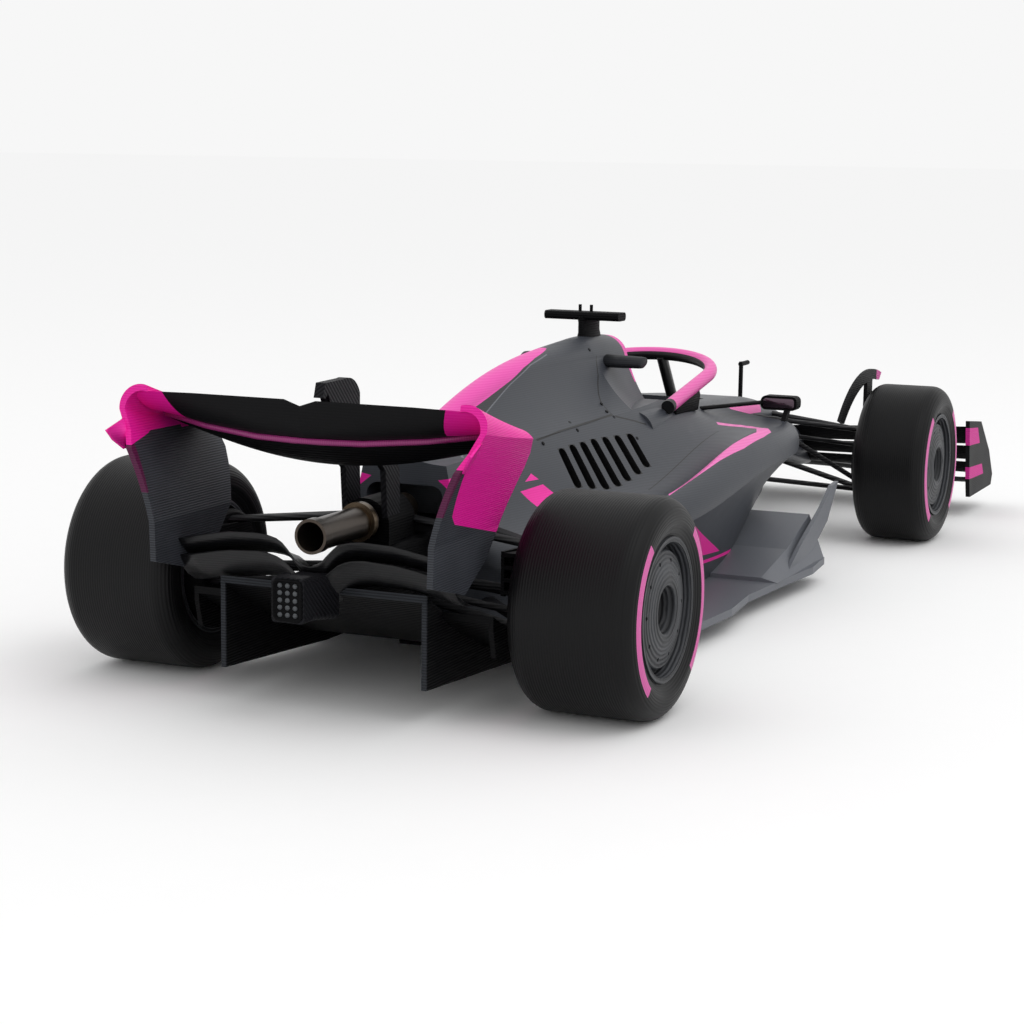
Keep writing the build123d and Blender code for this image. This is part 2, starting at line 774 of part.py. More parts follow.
with BuildPart() as rear_endplates:
    for side in (1, -1):
        for x, z_top in rolled_sections:
            outer = rolled_points(z_top, 0.0, side)
            inner = rolled_points(z_top, plate_thickness, side)
            roll = side * rear_tip_roundness * (z_top - rear_waist_z)
            with BuildSketch(cross_plane(x)):
                with BuildLine():
                    Line(outer[0], outer[1])
                    ThreePointArc(outer[1], bowed(outer[1], outer[2], side * -0.5), outer[2])
                    Line(outer[2], outer[3])
                    ThreePointArc(outer[3], bowed(outer[3], outer[4], roll), outer[4])
                    Line(outer[4], inner[4])
                    ThreePointArc(inner[4], bowed(inner[3], inner[4], 0.7 * roll), inner[3])
                    Line(inner[3], inner[2])
                    ThreePointArc(inner[2], bowed(inner[1], inner[2], side * -0.5), inner[1])
                    Polyline(inner[1], inner[0], outer[0])
                make_face()
        loft()
    with BuildSketch(side_plane(0)):
        with BuildLine():
            Polyline(*[(ahead_of_rear(-d), z) for d, z in endplate_outline], close=True)
        make_face()
    extrude(amount=2 * rear_waist_y, both=True, mode=Mode.INTERSECT)


def aerofoil(lead, tail, thickness, camber):
    """Thin cambered section between two points, sagging below the chord by the camber."""
    ThreePointArc(lead, bowed(lead, tail, -camber + thickness / 2), tail)
    ThreePointArc(tail, bowed(tail, lead, camber + thickness / 2), lead)


rear_span = rear_tip_y + 2.8
main_plane_table = [
    # width, leading edge behind the axle and height, trailing edge behind the axle and height, camber
    (rear_span, 8.6, 48.2, 20.2, 50.2, 0.4),
    (21.0, 7.0, 46.0, 23.4, 48.6, 1.3),
    (10.0, 6.4, 44.5, 25.2, 47.7, 2.1),
    (0.0, 6.2, 44.0, 26.0, 47.6, 2.4),
]
main_plane_sections = [(-row[0], *row[1:]) for row in main_plane_table[:-1]] + main_plane_table[::-1]
with BuildPart() as rear_main_plane:
    for y, lead, lead_z, tail, tail_z, camber in main_plane_sections:
        with BuildSketch(side_plane(y)):
            with BuildLine():
                aerofoil((ahead_of_rear(-lead), lead_z), (ahead_of_rear(-tail), tail_z), 1.6, camber)
            make_face()
    loft()
    add(rear_endplates.part, mode=Mode.SUBTRACT)
main_plane_body = rear_main_plane.part.solids().sort_by(SortBy.VOLUME)[-1]

flap_table = [
    # width, leading edge behind the axle and height, trailing edge height
    (rear_span, 20.4, 50.7, rear_flap_top_z - 0.2),
    (21.0, 23.8, 49.2, rear_flap_top_z),
    (10.0, 25.7, 48.3, rear_flap_top_z),
    (3.0, 26.4, 48.2, rear_flap_top_z),
    (0.0, 26.5, 48.2, rear_flap_top_z - 1.0),
]
flap_sections = [(-row[0], *row[1:]) for row in flap_table[:-1]] + flap_table[::-1]
with BuildPart() as rear_flap:
    for y, lead, lead_z, tail_z in flap_sections:
        with BuildSketch(side_plane(y)):
            with BuildLine():
                aerofoil((ahead_of_rear(-lead), lead_z), (ahead_of_rear(-flap_tail_behind), tail_z), 1.3, 0.6)
            make_face()
    loft(ruled=True)
    add(rear_endplates.part, mode=Mode.SUBTRACT)
    add(main_plane_body, mode=Mode.SUBTRACT)
flap_body = rear_flap.part.solids().sort_by(SortBy.VOLUME)[-1]

upper_beam_sections = [
    # width, height of the trailing edge
    (-28.0, 28.6),
    (-14.0, 30.0),
    (-7.0, 30.2),
    (0.0, 26.4),
    (7.0, 30.2),
    (14.0, 30.0),
    (28.0, 28.6),
]
lower_beam_sections = [
    # width, height of the trailing edge
    (2.0, 25.6),
    (6.0, 25.9),
    (14.0, 27.0),
    (28.0, 26.6),
]
with BuildPart() as upper_beam:
    for y, z in upper_beam_sections:
        with BuildSketch(side_plane(y)):
            with BuildLine():
                aerofoil((ahead_of_rear(-14.5), z - 2.6), (ahead_of_rear(-22.0), z), 1.2, 0.7)
            make_face()
    loft(ruled=True)
    for neighbour in (rear_endplates.part, crash_structure.part, casing_body, exhaust.part, fairing_body):
        add(neighbour, mode=Mode.SUBTRACT)
upper_beam_body = upper_beam.part.solids().sort_by(SortBy.VOLUME)[-1]
lower_beam_bodies = []
for side in (1, -1):
    with BuildPart() as lower_beam:
        for y, z in lower_beam_sections:
            with BuildSketch(side_plane(side * y)):
                with BuildLine():
                    aerofoil((ahead_of_rear(-10.5), z - 2.2), (ahead_of_rear(-18.6), z), 1.1, 0.7)
                make_face()
        loft(ruled=True)
        for neighbour in (rear_endplates.part, crash_structure.part, casing_body, under_roof.part):
            add(neighbour, mode=Mode.SUBTRACT)
        add(upper_beam_body, mode=Mode.SUBTRACT)
    lower_beam_bodies.append(lower_beam.part.solids().sort_by(SortBy.VOLUME)[-1])

pylon_half_gap = 3.4
pylon_thickness = 1.1
with BuildPart() as pylons:
    for side in (1, -1):
        with BuildSketch(side_plane(side * pylon_half_gap)):
            with BuildLine():
                Polyline(
                    (ahead_of_rear(-0.6), exhaust_z + 0.6),
                    (ahead_of_rear(-1.0), 40.4),
                    (ahead_of_rear(-7.6), 46.4),
                    (ahead_of_rear(-13.4), 46.4),
                    (ahead_of_rear(-6.4), 40.6),
                    (ahead_of_rear(-5.6), exhaust_z + 0.6),
                    close=True,
                )
            make_face()
        extrude(amount=-side * pylon_thickness)
    add(main_plane_body, mode=Mode.SUBTRACT)
    add(fairing_body, mode=Mode.SUBTRACT)
    add(exhaust.part, mode=Mode.SUBTRACT)
pylon_bodies = [piece for piece in pylons.part.solids() if piece.bounding_box().min.Z < 40.0]

strap_half_width = 0.9
with BuildPart() as actuator_pod:
    with BuildSketch(side_plane(0)):
        with BuildLine():
            Line((ahead_of_rear(-9.2), 43.0), (ahead_of_rear(-9.2), 54.4))
            ThreePointArc(
                (ahead_of_rear(-9.2), 54.4), (ahead_of_rear(-10.9), 56.5), (ahead_of_rear(-14.6), 57.3)
            )
            Polyline(
                (ahead_of_rear(-14.6), 57.3),
                (ahead_of_rear(-21.8), 57.2),
                (ahead_of_rear(-22.6), 54.7),
                (ahead_of_rear(-21.6), 54.6),
                (ahead_of_rear(-20.8), 55.4),
                (ahead_of_rear(-19.4), 52.6),
                (ahead_of_rear(-16.0), 43.0),
                (ahead_of_rear(-9.2), 43.0),
            )
        make_face()
    extrude(amount=strap_half_width, both=True)
    add(main_plane_body, mode=Mode.SUBTRACT)
    add(flap_body, mode=Mode.SUBTRACT)
actuator_body = actuator_pod.part.solids().sort_by(Axis.Z)[-1]

# Front wing: main plane, three flaps on each side and endplates
front_endplate_outline = [
    # distance ahead of the front axle, height
    (36.0, 26.4),
    (50.4, 24.8),
    (62.0, 15.6),
    (67.4, 8.4),
    (66.0, 5.6),
    (40.0, 5.6),
    (38.6, 10.4),
]
with BuildPart() as front_endplates:
    for side in (1, -1):
        with BuildSketch(side_plane(side * front_endplate_y)):
            with BuildLine():
                Polyline(*[(ahead_of_front(d), z) for d, z in front_endplate_outline], close=True)
            make_face()
        extrude(amount=-side * plate_thickness)

front_main_sections = [
    # width, leading edge ahead of the axle, trailing edge ahead, height
    (-52.6, front_overhang - 4.6, 53.4, 7.6),
    (-26.0, front_overhang - 2.4, 55.2, 7.8),
    (0.0, front_overhang, 56.6, 8.6),
    (26.0, front_overhang - 2.4, 55.2, 7.8),
    (52.6, front_overhang - 4.6, 53.4, 7.6),
]
with BuildPart() as front_main_plane:
    for y, lead, tail, z in front_main_sections:
        with BuildSketch(side_plane(y)):
            with BuildLine():
                aerofoil((ahead_of_front(lead), z), (ahead_of_front(tail), z + 1.6), 1.3, 0.7)
            make_face()
    loft()
    add(front_endplates.part, mode=Mode.SUBTRACT)
    add(nose.part, mode=Mode.SUBTRACT)

front_flap_rows = [
    # root lead, root lead z, root tail, root tail z, tip lead, tip lead z, tip tail, tip tail z
    (57.6, 10.6, 50.4, 13.4, 54.6, 10.4, 48.0, 14.0),
    (51.4, 13.8, 45.4, 17.4, 49.0, 14.6, 43.2, 19.0),
    (46.4, 17.6, 41.2, 21.8, 44.2, 19.4, 39.0, 24.6),
]
front_flap_root_y = 3.0
with BuildPart() as front_flaps:
    for side in (1, -1):
        for row in front_flap_rows:
            root_lead, root_lead_z, root_tail, root_tail_z = row[:4]
            tip_lead, tip_lead_z, tip_tail, tip_tail_z = row[4:]
            with BuildSketch(side_plane(side * front_flap_root_y)):
                with BuildLine():
                    aerofoil(
                        (ahead_of_front(root_lead), root_lead_z),
                        (ahead_of_front(root_tail), root_tail_z),
                        1.1,
                        0.7,
                    )
                make_face()
            with BuildSketch(side_plane(side * front_endplate_y)):
                with BuildLine():
                    aerofoil(
                        (ahead_of_front(tip_lead), tip_lead_z),
                        (ahead_of_front(tip_tail), tip_tail_z),
                        1.1,
                        0.7,
                    )
                make_face()
            loft()
    add(nose.part, mode=Mode.SUBTRACT)
    add(front_endplates.part, mode=Mode.SUBTRACT)

# Halo: one bent tube on the cockpit rim with a single pillar in front
halo_rear_share = 0.515
halo_half_width = 17.0
halo_bend_share = 0.64
halo_tube = 1.5
halo_rear_z = 41.4
halo_rise = 0.18
halo_plane = Plane(
    origin=(along(halo_rear_share), 0, halo_rear_z), x_dir=(1, 0, halo_rise), z_dir=(-halo_rise, 0, 1)
)
leg = (along(halo_bend_share) - along(halo_rear_share)) * hypot(1, halo_rise)
with BuildPart() as halo:
    with BuildLine(halo_plane) as halo_path:
        Line((0, -halo_half_width), (leg, -halo_half_width))
        ThreePointArc((leg, -halo_half_width), (leg + halo_half_width, 0), (leg, halo_half_width))
        Line((leg, halo_half_width), (0, halo_half_width))
    with BuildSketch(Plane(origin=halo_path.line @ 0, z_dir=halo_path.line % 0)):
        Circle(halo_tube)
    sweep(path=halo_path.line)
    apex_x = along(halo_bend_share) + halo_half_width * 0.97
    apex_z = halo_rear_z + halo_rise * (apex_x - along(halo_rear_share))
    pillar_foot = Vector(apex_x + 12.0, 0, 33.0)
    pillar_plane = Plane(origin=pillar_foot, z_dir=Vector(apex_x, 0, apex_z) - pillar_foot)
    with BuildSketch(pillar_plane):
        Ellipse(1.9, 1.1)
    extrude(amount=(Vector(apex_x, 0, apex_z) - pillar_foot).length)
    add(cell_solid, mode=Mode.SUBTRACT)
    add(airbox.part, mode=Mode.SUBTRACT)
    add(sidepods[1], mode=Mode.SUBTRACT)
    add(sidepods[-1], mode=Mode.SUBTRACT)

# Cockpit fittings: headrest pad, seat and steering wheel
rest_half_width = cockpit_rear_half_width
rest_rear_x = along(cockpit_rear_share)
with BuildPart() as headrest:
    with BuildSketch(Plane.XY.offset(33.0)):
        with BuildLine():
            Polyline(
                (rest_rear_x, -rest_half_width),
                (rest_rear_x + 19.0, -rest_half_width),
                (rest_rear_x + 19.0, -rest_half_width + 3.2),
                (rest_rear_x + 8.0, -rest_half_width + 4.4),
                (rest_rear_x + 4.0, -4.0),
                (rest_rear_x + 4.0, 4.0),
                (rest_rear_x + 8.0, rest_half_width - 4.4),
                (rest_rear_x + 19.0, rest_half_width - 3.2),
                (rest_rear_x + 19.0, rest_half_width),
                (rest_rear_x, rest_half_width),
                close=True,
            )
        make_face()
    extrude(amount=6.6)
    add(monocoque.part, mode=Mode.SUBTRACT)
    add(airbox.part, mode=Mode.SUBTRACT)

seat_half_width = 7.6
with BuildPart() as seat:
    with BuildSketch(side_plane(0)):
        with BuildLine():
            Polyline(
                (rest_rear_x + 5.0, cockpit_floor_z),
                (rest_rear_x + 34.0, cockpit_floor_z),
                (rest_rear_x + 34.0, cockpit_floor_z + 4.0),
                (rest_rear_x + 20.0, cockpit_floor_z + 3.0),
                (rest_rear_x + 13.0, cockpit_floor_z + 6.0),
                (rest_rear_x + 7.0, 31.0),
                (rest_rear_x + 4.0, 31.0),
                close=True,
            )
        make_face()
    extrude(amount=seat_half_width, both=True)

column_length = 6.6
wheel_depth = 1.4
wheel_centre_x = along(cockpit_front_share) - column_length - wheel_depth
wheel_centre_z = 32.0
with BuildPart() as steering_wheel:
    with BuildSketch(cross_plane(wheel_centre_x)):
        with Locations((0, wheel_centre_z)):
            RectangleRounded(14.0, 6.6, 2.2)
            for y in (-5.4, 5.4):
                with Locations((y, -0.2)):
                    SlotOverall(3.4, 1.5, rotation=90, mode=Mode.SUBTRACT)
    extrude(amount=wheel_depth)
    with BuildSketch(cross_plane(wheel_centre_x + wheel_depth)):
        with Locations((0, wheel_centre_z)):
            Circle(1.1)
    extrude(amount=column_length)

# Mirrors, camera, horns and speed probe
mirror_x = along(0.7075)
mirror_y = 30.0
mirror_z = 39.2
mirror_width = 8.6
with BuildPart() as mirrors:
    for side in (1, -1):
        with BuildSketch(cross_plane(mirror_x)):
            with Locations((side * mirror_y, mirror_z)):
                RectangleRounded(mirror_width, 3.2, 1.2)
        extrude(amount=3.4)
        with BuildSketch(side_plane(side * (mirror_y + 1.4))):
            with BuildLine():
                Polyline(
                    (mirror_x + 0.2, mirror_z - 1.0),
                    (mirror_x + 2.4, mirror_z - 1.0),
                    (mirror_x - 1.8, 34.0),
                    (mirror_x - 4.0, 34.0),
                    close=True,
                )
            make_face()
        extrude(amount=-side * 1.0)
        arm_foot = Vector(along(0.63), side * 15.0, 38.6)
        arm_tip = Vector(mirror_x + 1.6, side * (mirror_y - 3.4), mirror_z)
        reach = arm_tip - arm_foot
        arm_plane = Plane(origin=arm_foot, x_dir=reach.cross(Vector(0, 0, 1)), z_dir=reach)
        with BuildSketch(arm_plane):
            Ellipse(1.0, 0.45)
        extrude(amount=(arm_tip - arm_foot).length)
    for neighbour in (sidepods[1], sidepods[-1], cell_solid, halo.part):
        add(neighbour, mode=Mode.SUBTRACT)

camera_x = along(0.4815)
camera_z = 61.0
camera_half_width = 8.55
pin_gap = 1.3
with BuildPart() as t_camera:
    with BuildSketch(side_plane(0)):
        with Locations((camera_x, camera_z)):
            RectangleRounded(4.6, 1.8, 0.8)
    extrude(amount=camera_half_width, both=True)
    with BuildSketch(Plane.XY.offset(54.0)):
        with Locations((camera_x + 0.6, 0)):
            Ellipse(3.4, 1.1)
    extrude(amount=camera_z - 54.0)
    with BuildSketch(Plane.XY.offset(camera_z)):
        with Locations((camera_x + 0.4, pin_gap), (camera_x + 0.4, -pin_gap)):
            Circle(0.35)
    extrude(amount=2.3)
    add(airbox.part, mode=Mode.SUBTRACT)
    add(engine_cover.part, mode=Mode.SUBTRACT)
camera_body = t_camera.part.solids().sort_by(Axis.Z)[-1]

horn_x = along(0.48)
horn_z = 51.5
horn_tip_y = 14.0
with BuildPart() as camera_horns:
    for side in (1, -1):
        with BuildSketch(side_plane(side * 4.0)):
            with Locations((horn_x, horn_z)):
                Ellipse(2.5, 0.9)
        with BuildSketch(side_plane(side * horn_tip_y)):
            with Locations((horn_x - 0.4, horn_z)):
                Ellipse(2.0, 0.7)
        loft()
    add(airbox.part, mode=Mode.SUBTRACT)
horn_bodies = [piece for piece in camera_horns.part.solids() if abs(piece.center().Y) > 5.0]

probe_x = ahead_of_front(5.0)
with BuildPart() as pitot:
    with BuildSketch(Plane.XY.offset(26.0)):
        with Locations((probe_x, 0)):
            Ellipse(1.0, 0.5)
    extrude(amount=16.0)
    with BuildSketch(cross_plane(probe_x - 0.6)):
        with Locations((0, 41.4)):
            Circle(0.6)
    extrude(amount=6.0)
    add(cell_solid, mode=Mode.SUBTRACT)

# Suspension: straight arms of flat oval section between the cell or casing and the uprights
front_foot_y = front_outer_y - front_tyre_width - drum_stand_out - 0.6
rear_foot_y = rear_outer_y - rear_tyre_width - drum_stand_out - 0.6
arm_groups = {
    # piece: inner end, outer end, half chord, half thickness, for the left side
    "front_upper_wishbones": [
        ((ahead_of_front(9.0), 4.0, 29.0), (front_axle_x, front_foot_y + 2, 26.6), 1.5, 0.6),
        ((ahead_of_front(-20.0), 4.0, 31.6), (front_axle_x, front_foot_y + 2, 26.6), 1.5, 0.6),
    ],
    "front_lower_wishbones": [
        ((ahead_of_front(8.0), 4.0, 18.4), (front_axle_x, front_foot_y + 2, 11.6), 1.5, 0.6),
        ((ahead_of_front(-26.0), 4.0, 17.0), (front_axle_x, front_foot_y + 2, 11.6), 1.5, 0.6),
    ],
    "front_push_rods": [
        ((ahead_of_front(-5.0), 4.0, 31.2), (ahead_of_front(-3.2), front_foot_y + 2, 13.6), 1.1, 0.6),
    ],
    "front_track_rods": [
        ((ahead_of_front(4.0), 4.0, 24.4), (ahead_of_front(5.0), front_foot_y + 2, 22.0), 1.0, 0.55),
    ],
    "rear_upper_wishbones": [
        ((ahead_of_rear(6.0), 3.0, 30.4), (ahead_of_rear(0), rear_foot_y + 2, 28.2), 1.5, 0.65),
        ((ahead_of_rear(22.0), 3.0, 28.8), (ahead_of_rear(0), rear_foot_y + 2, 28.2), 1.5, 0.65),
    ],
    "rear_lower_wishbones": [
        ((ahead_of_rear(2.0), 3.0, 17.6), (ahead_of_rear(1.0), rear_foot_y + 2, 12.4), 1.5, 0.65),
        ((ahead_of_rear(26.0), 3.0, 15.6), (ahead_of_rear(1.0), rear_foot_y + 2, 12.4), 1.5, 0.65),
    ],
    "rear_toe_links": [
        ((ahead_of_rear(-7.6), 3.0, 21.4), (ahead_of_rear(-6.6), rear_foot_y + 2, 17.6), 1.0, 0.6),
    ],
    "driveshafts": [
        (
            (ahead_of_rear(0.6), 3.0, tyre_radius + 2.4),
            (ahead_of_rear(0.6), rear_foot_y + 2, tyre_radius),
            1.0,
            1.0,
        ),
    ],
}
arms = {}
for label, legs in arm_groups.items():
    with BuildPart() as arm:
        for side in (1, -1):
            for inner, outer, half_chord, half_thickness in legs:
                foot = Vector(inner[0], side * inner[1], inner[2])
                tip = Vector(outer[0], side * outer[1], outer[2])
                span = tip - foot
                arm_plane = Plane(origin=foot, x_dir=span.cross(Vector(0, 0, 1)), z_dir=span)
                with BuildSketch(arm_plane):
                    Ellipse(half_chord, half_thickness)
                extrude(amount=span.length)
        for neighbour in (
            cell_solid, nose.part, sidepods[1], sidepods[-1], casing_body, fairing_body, under_roof.part
        ):
            add(neighbour, mode=Mode.SUBTRACT)
        for corner in uprights:
            add(uprights[corner], mode=Mode.SUBTRACT)
        for other in arms.values():
            add(other, mode=Mode.SUBTRACT)
    outer_y = max(outer[1] for inner, outer, half_chord, half_thickness in legs)
    arms[label] = Compound([piece for piece in arm.part.solids() if abs(piece.center().Y) > outer_y / 4])
    save(arms[label], label)

save(monocoque.part, "monocoque")
save(nose.part, "nose_cone")
save(engine_cover.part, "engine_cover")
save(airbox.part, "airbox")
save(floor.part, "floor")
save(plank.part, "plank")
save(floor_inlets.part, "floor_inlets")
save(diffuser.part, "diffuser")
save(casing_body, "gearbox_casing")
save(crash_structure.part, "crash_structure")
save(rain_light.part, "rain_light")
save(exhaust.part, "exhaust_pipe")
save(fairing_body, "exhaust_fairing")
save(rear_endplates.part, "rear_wing_endplates")
save(main_plane_body, "rear_wing_main_plane")
save(flap_body, "rear_wing_flap")
save(Compound([upper_beam_body, *lower_beam_bodies]), "beam_wing")
save(Compound(pylon_bodies), "rear_wing_pylons")
save(actuator_body, "flap_actuator")
save(front_endplates.part, "front_wing_endplates")
save(front_main_plane.part, "front_wing_main_plane")
save(front_flaps.part, "front_wing_flaps")
save(halo.part, "halo")
save(headrest.part, "headrest")
save(seat.part, "seat")
save(steering_wheel.part, "steering_wheel")
save(mirrors.part, "mirrors")
save(camera_body, "roof_camera")
save(Compound(horn_bodies), "camera_horns")
save(pitot.part, "speed_probe")
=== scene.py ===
import json
import math

import bmesh
import bpy
from mathutils import Matrix, Vector


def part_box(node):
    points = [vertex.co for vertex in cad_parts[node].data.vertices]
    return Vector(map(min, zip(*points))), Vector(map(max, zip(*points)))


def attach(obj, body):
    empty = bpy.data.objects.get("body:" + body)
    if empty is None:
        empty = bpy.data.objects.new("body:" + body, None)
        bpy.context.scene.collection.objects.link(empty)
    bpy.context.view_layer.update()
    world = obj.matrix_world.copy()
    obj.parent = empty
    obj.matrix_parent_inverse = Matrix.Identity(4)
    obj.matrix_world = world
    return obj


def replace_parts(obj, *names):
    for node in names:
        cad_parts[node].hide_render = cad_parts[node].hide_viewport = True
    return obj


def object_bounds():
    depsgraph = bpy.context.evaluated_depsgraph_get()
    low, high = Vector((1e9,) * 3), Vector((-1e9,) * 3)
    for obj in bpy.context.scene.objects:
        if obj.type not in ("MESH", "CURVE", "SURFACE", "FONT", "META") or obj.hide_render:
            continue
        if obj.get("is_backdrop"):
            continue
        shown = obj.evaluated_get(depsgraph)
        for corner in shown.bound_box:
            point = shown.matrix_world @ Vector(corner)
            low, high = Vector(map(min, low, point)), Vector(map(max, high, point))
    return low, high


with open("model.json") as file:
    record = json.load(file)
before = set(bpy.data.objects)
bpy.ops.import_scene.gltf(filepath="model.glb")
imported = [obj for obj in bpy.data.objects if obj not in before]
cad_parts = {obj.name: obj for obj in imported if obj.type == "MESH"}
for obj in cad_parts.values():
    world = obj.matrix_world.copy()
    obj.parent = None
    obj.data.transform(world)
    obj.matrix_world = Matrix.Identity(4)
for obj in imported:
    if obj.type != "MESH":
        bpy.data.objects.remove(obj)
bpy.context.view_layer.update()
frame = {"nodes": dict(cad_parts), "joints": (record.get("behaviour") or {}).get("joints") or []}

nodes = frame["nodes"]

# Floor and tunnel inlets: flat plates of mid grey plastic, printed lying down and glued under the body.
# The nozzle leaves fine parallel lines across them, and the grey is paler than the body's.


def linear(colour):
    """Linear red, green, blue and alpha of an sRGB hex colour."""
    parts = [int(colour[i:i + 2], 16) / 255 for i in (1, 3, 5)]
    return [p / 12.92 if p < 0.04045 else ((p + 0.055) / 1.055) ** 2.4 for p in parts] + [1.0]


def shade(tree, kind, inputs, **settings):
    """Adds one node with its settings, and links or sets its inputs."""
    made = tree.nodes.new(kind)
    for name, value in settings.items():
        setattr(made, name, value)
    for socket, value in inputs.items():
        if isinstance(value, bpy.types.NodeSocket):
            tree.links.new(value, made.inputs[socket])
        else:
            made.inputs[socket].default_value = value
    return made


def depth_in(tree, place, area):
    """Depth of a point inside an area: convex outlines in mm, each in two axes or directions, that all hold it."""
    depth = None
    for axes, outline in area:
        first, second = (
            Vector([float(letter == axis) for letter in "xyz"]) if isinstance(axis, str) else axis for axis in axes
        )
        middle = Vector([sum(point[i] for point in outline) / len(outline) for i in (0, 1)])
        for start, end in zip(outline, outline[1:] + outline[:1]):
            inward = Vector((start[1] - end[1], end[0] - start[0])).normalized()
            if inward.dot(middle - Vector(start)) < 0:
                inward.negate()
            normal = first * inward.x + second * inward.y
            along = shade(tree, "ShaderNodeVectorMath", {0: place, 1: normal}, operation="DOT_PRODUCT")
            edge = shade(
                tree, "ShaderNodeMath", {0: along.outputs["Value"], 1: inward.dot(Vector(start)) * 0.001},
                operation="SUBTRACT",
            ).outputs[0]
            if depth is not None:
                edge = shade(tree, "ShaderNodeMath", {0: depth, 1: edge}, operation="MINIMUM").outputs[0]
            depth = edge
    return depth


def printed_plastic(name, dark, light, layer_mm, relief, roughness, direction="Z", paints=(), specular=0.1):
    """Matte printed plastic: a colour that drifts a little, ridges of print layers, and painted areas."""
    material = bpy.data.materials.new(name)
    material.use_nodes = True
    tree = material.node_tree
    surface = tree.nodes["Principled BSDF"]
    surface.inputs["Specular IOR Level"].default_value = specular
    place = tree.nodes.new("ShaderNodeTexCoord").outputs["Object"]
    drift = shade(tree, "ShaderNodeTexNoise", {"Vector": place, "Scale": 140.0, "Detail": 5.0}).outputs["Fac"]
    layers = shade(
        tree, "ShaderNodeTexWave", {"Vector": place, "Scale": 314.159 / layer_mm, "Distortion": 0.0},
        wave_type="BANDS", bands_direction=direction,
    ).outputs["Fac"]
    blend = shade(tree, "ShaderNodeMath", {0: drift, 1: layers}, operation="ADD").outputs[0]
    share = shade(tree, "ShaderNodeMath", {0: blend, 1: 0.5}, operation="MULTIPLY").outputs[0]
    colour = shade(
        tree, "ShaderNodeMix", {"Factor": share, 6: linear(dark), 7: linear(light)}, data_type="RGBA",
    ).outputs[2]
    if paints:
        axes = shade(tree, "ShaderNodeSeparateXYZ", {0: place}).outputs
        from_middle = shade(tree, "ShaderNodeMath", {0: axes["Y"]}, operation="ABSOLUTE").outputs[0]
        folded = shade(tree, "ShaderNodeCombineXYZ", {0: axes["X"], 1: from_middle, 2: axes["Z"]}).outputs[0]
    for paint_dark, paint_light, areas in paints:
        cover = None
        for area in areas:
            inside = shade(
                tree, "ShaderNodeMath", {0: depth_in(tree, folded, area), 1: 0.0}, operation="GREATER_THAN",
            ).outputs[0]
            if cover is not None:
                inside = shade(tree, "ShaderNodeMath", {0: cover, 1: inside}, operation="MAXIMUM").outputs[0]
            cover = inside
        paint = shade(
            tree, "ShaderNodeMix", {"Factor": share, 6: linear(paint_dark), 7: linear(paint_light)}, data_type="RGBA",
        ).outputs[2]
        colour = shade(tree, "ShaderNodeMix", {"Factor": cover, 6: colour, 7: paint}, data_type="RGBA").outputs[2]
    bump = shade(tree, "ShaderNodeBump", {"Height": layers, "Strength": relief, "Distance": layer_mm * 0.00025})
    sheen = shade(
        tree, "ShaderNodeMapRange", {"Value": drift, "To Min": roughness - 0.06, "To Max": roughness + 0.06},
    )
    tree.links.new(colour, surface.inputs["Base Color"])
    tree.links.new(bump.outputs["Normal"], surface.inputs["Normal"])
    tree.links.new(sheen.outputs[0], surface.inputs["Roughness"])
    return material


def wear(material, *names):
    """Gives CAD nodes a material."""
    for name in names:
        nodes[name].data.materials.clear()
        nodes[name].data.materials.append(material)


floor_plastic = printed_plastic("PLA_mid_grey_printed_flat", "#5c5f66", "#6e7178", 0.5, 0.12, 0.45, "X", specular=0.5)
wear(floor_plastic, "floor", "floor_inlets")

# Plank, diffuser, casing and tail structure: black plastic printed upright and pushed into the floor.
# The layers show as fine level ridges, and the diffuser's rear edges are drawn grey as a painted highlight of the
# light on their ridges; the block at the tail has slanting ones.
black_plastic = printed_plastic("PLA_black_printed_layered", "#060607", "#101012", 0.5, 0.5, 0.55, specular=0.07)
hatched_plastic = printed_plastic("PLA_black_printed_hatched", "#08080a", "#2a2a2e", 0.5, 0.6, 0.5, "DIAGONAL")
wear(black_plastic, "plank", "gearbox_casing", "exhaust_fairing")
exit_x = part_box("diffuser")[0][0] * 1000
edge_highlight_x = exit_x + 0.4
diffuser_plastic = printed_plastic(
    "PLA_black_printed_diffuser_worn_edges", "#060607", "#101012", 0.5, 0.6, 0.5, specular=0.1,
    # painted highlight: the last 0.4 mm of the rear edges is drawn grey
    paints=[("#17181b", "#45484d", [
        [("xz", [(exit_x - 1, -1), (edge_highlight_x, -1), (edge_highlight_x, 30), (exit_x - 1, 30)])],
    ])],
)
wear(diffuser_plastic, "diffuser")
wear(hatched_plastic, "crash_structure")

# Survival cell and nose: graphite grey plastic, sanded before painting, with a neon pink flash on each flank.
# The grey is matt and nearly free of layer lines, and a dark joint runs under each halo foot.


def stroke(axes, start, end, width):
    """Outline of a straight line of a width in mm."""
    start, end = Vector(start), Vector(end)
    aside = Vector((start.y - end.y, end.x - start.x)).normalized() * width / 2
    return axes, [start + aside, end + aside, end - aside, start - aside]


pink_dark, pink_light = "#f40e9c", "#ff2cb0"
# the pale pink is the neon pink drawn paler, as a painted highlight
highlight_pink_dark, highlight_pink_light = "#ec62b4", "#f684c6"
seam_dark, seam_light = "#08080a", "#121214"
cell_plastic = printed_plastic(
    "PLA_graphite_sanded_cell", "#33363c", "#41444b", 0.4, 0.04, 0.42, specular=0.35,
    paints=[
        ("#e83aa6", "#f25cb6", [
            [
                ("xz", [(36.0, 36.2), (77.0, 33.2), (75.0, 30.6), (40.0, 33.4)]),
                ("xy", [(30.0, 8.0), (80.0, 8.0), (80.0, 20.0), (30.0, 20.0)]),
            ],
        ]),
        (seam_dark, seam_light, [
            [stroke("xz", (-15.8, 40.2), (2.1, 39.6), 0.3), ("xy", [(-20, 15), (6, 15), (6, 20), (-20, 20)])],
        ]),
    ],
)
wear(cell_plastic, "monocoque", "nose_cone")
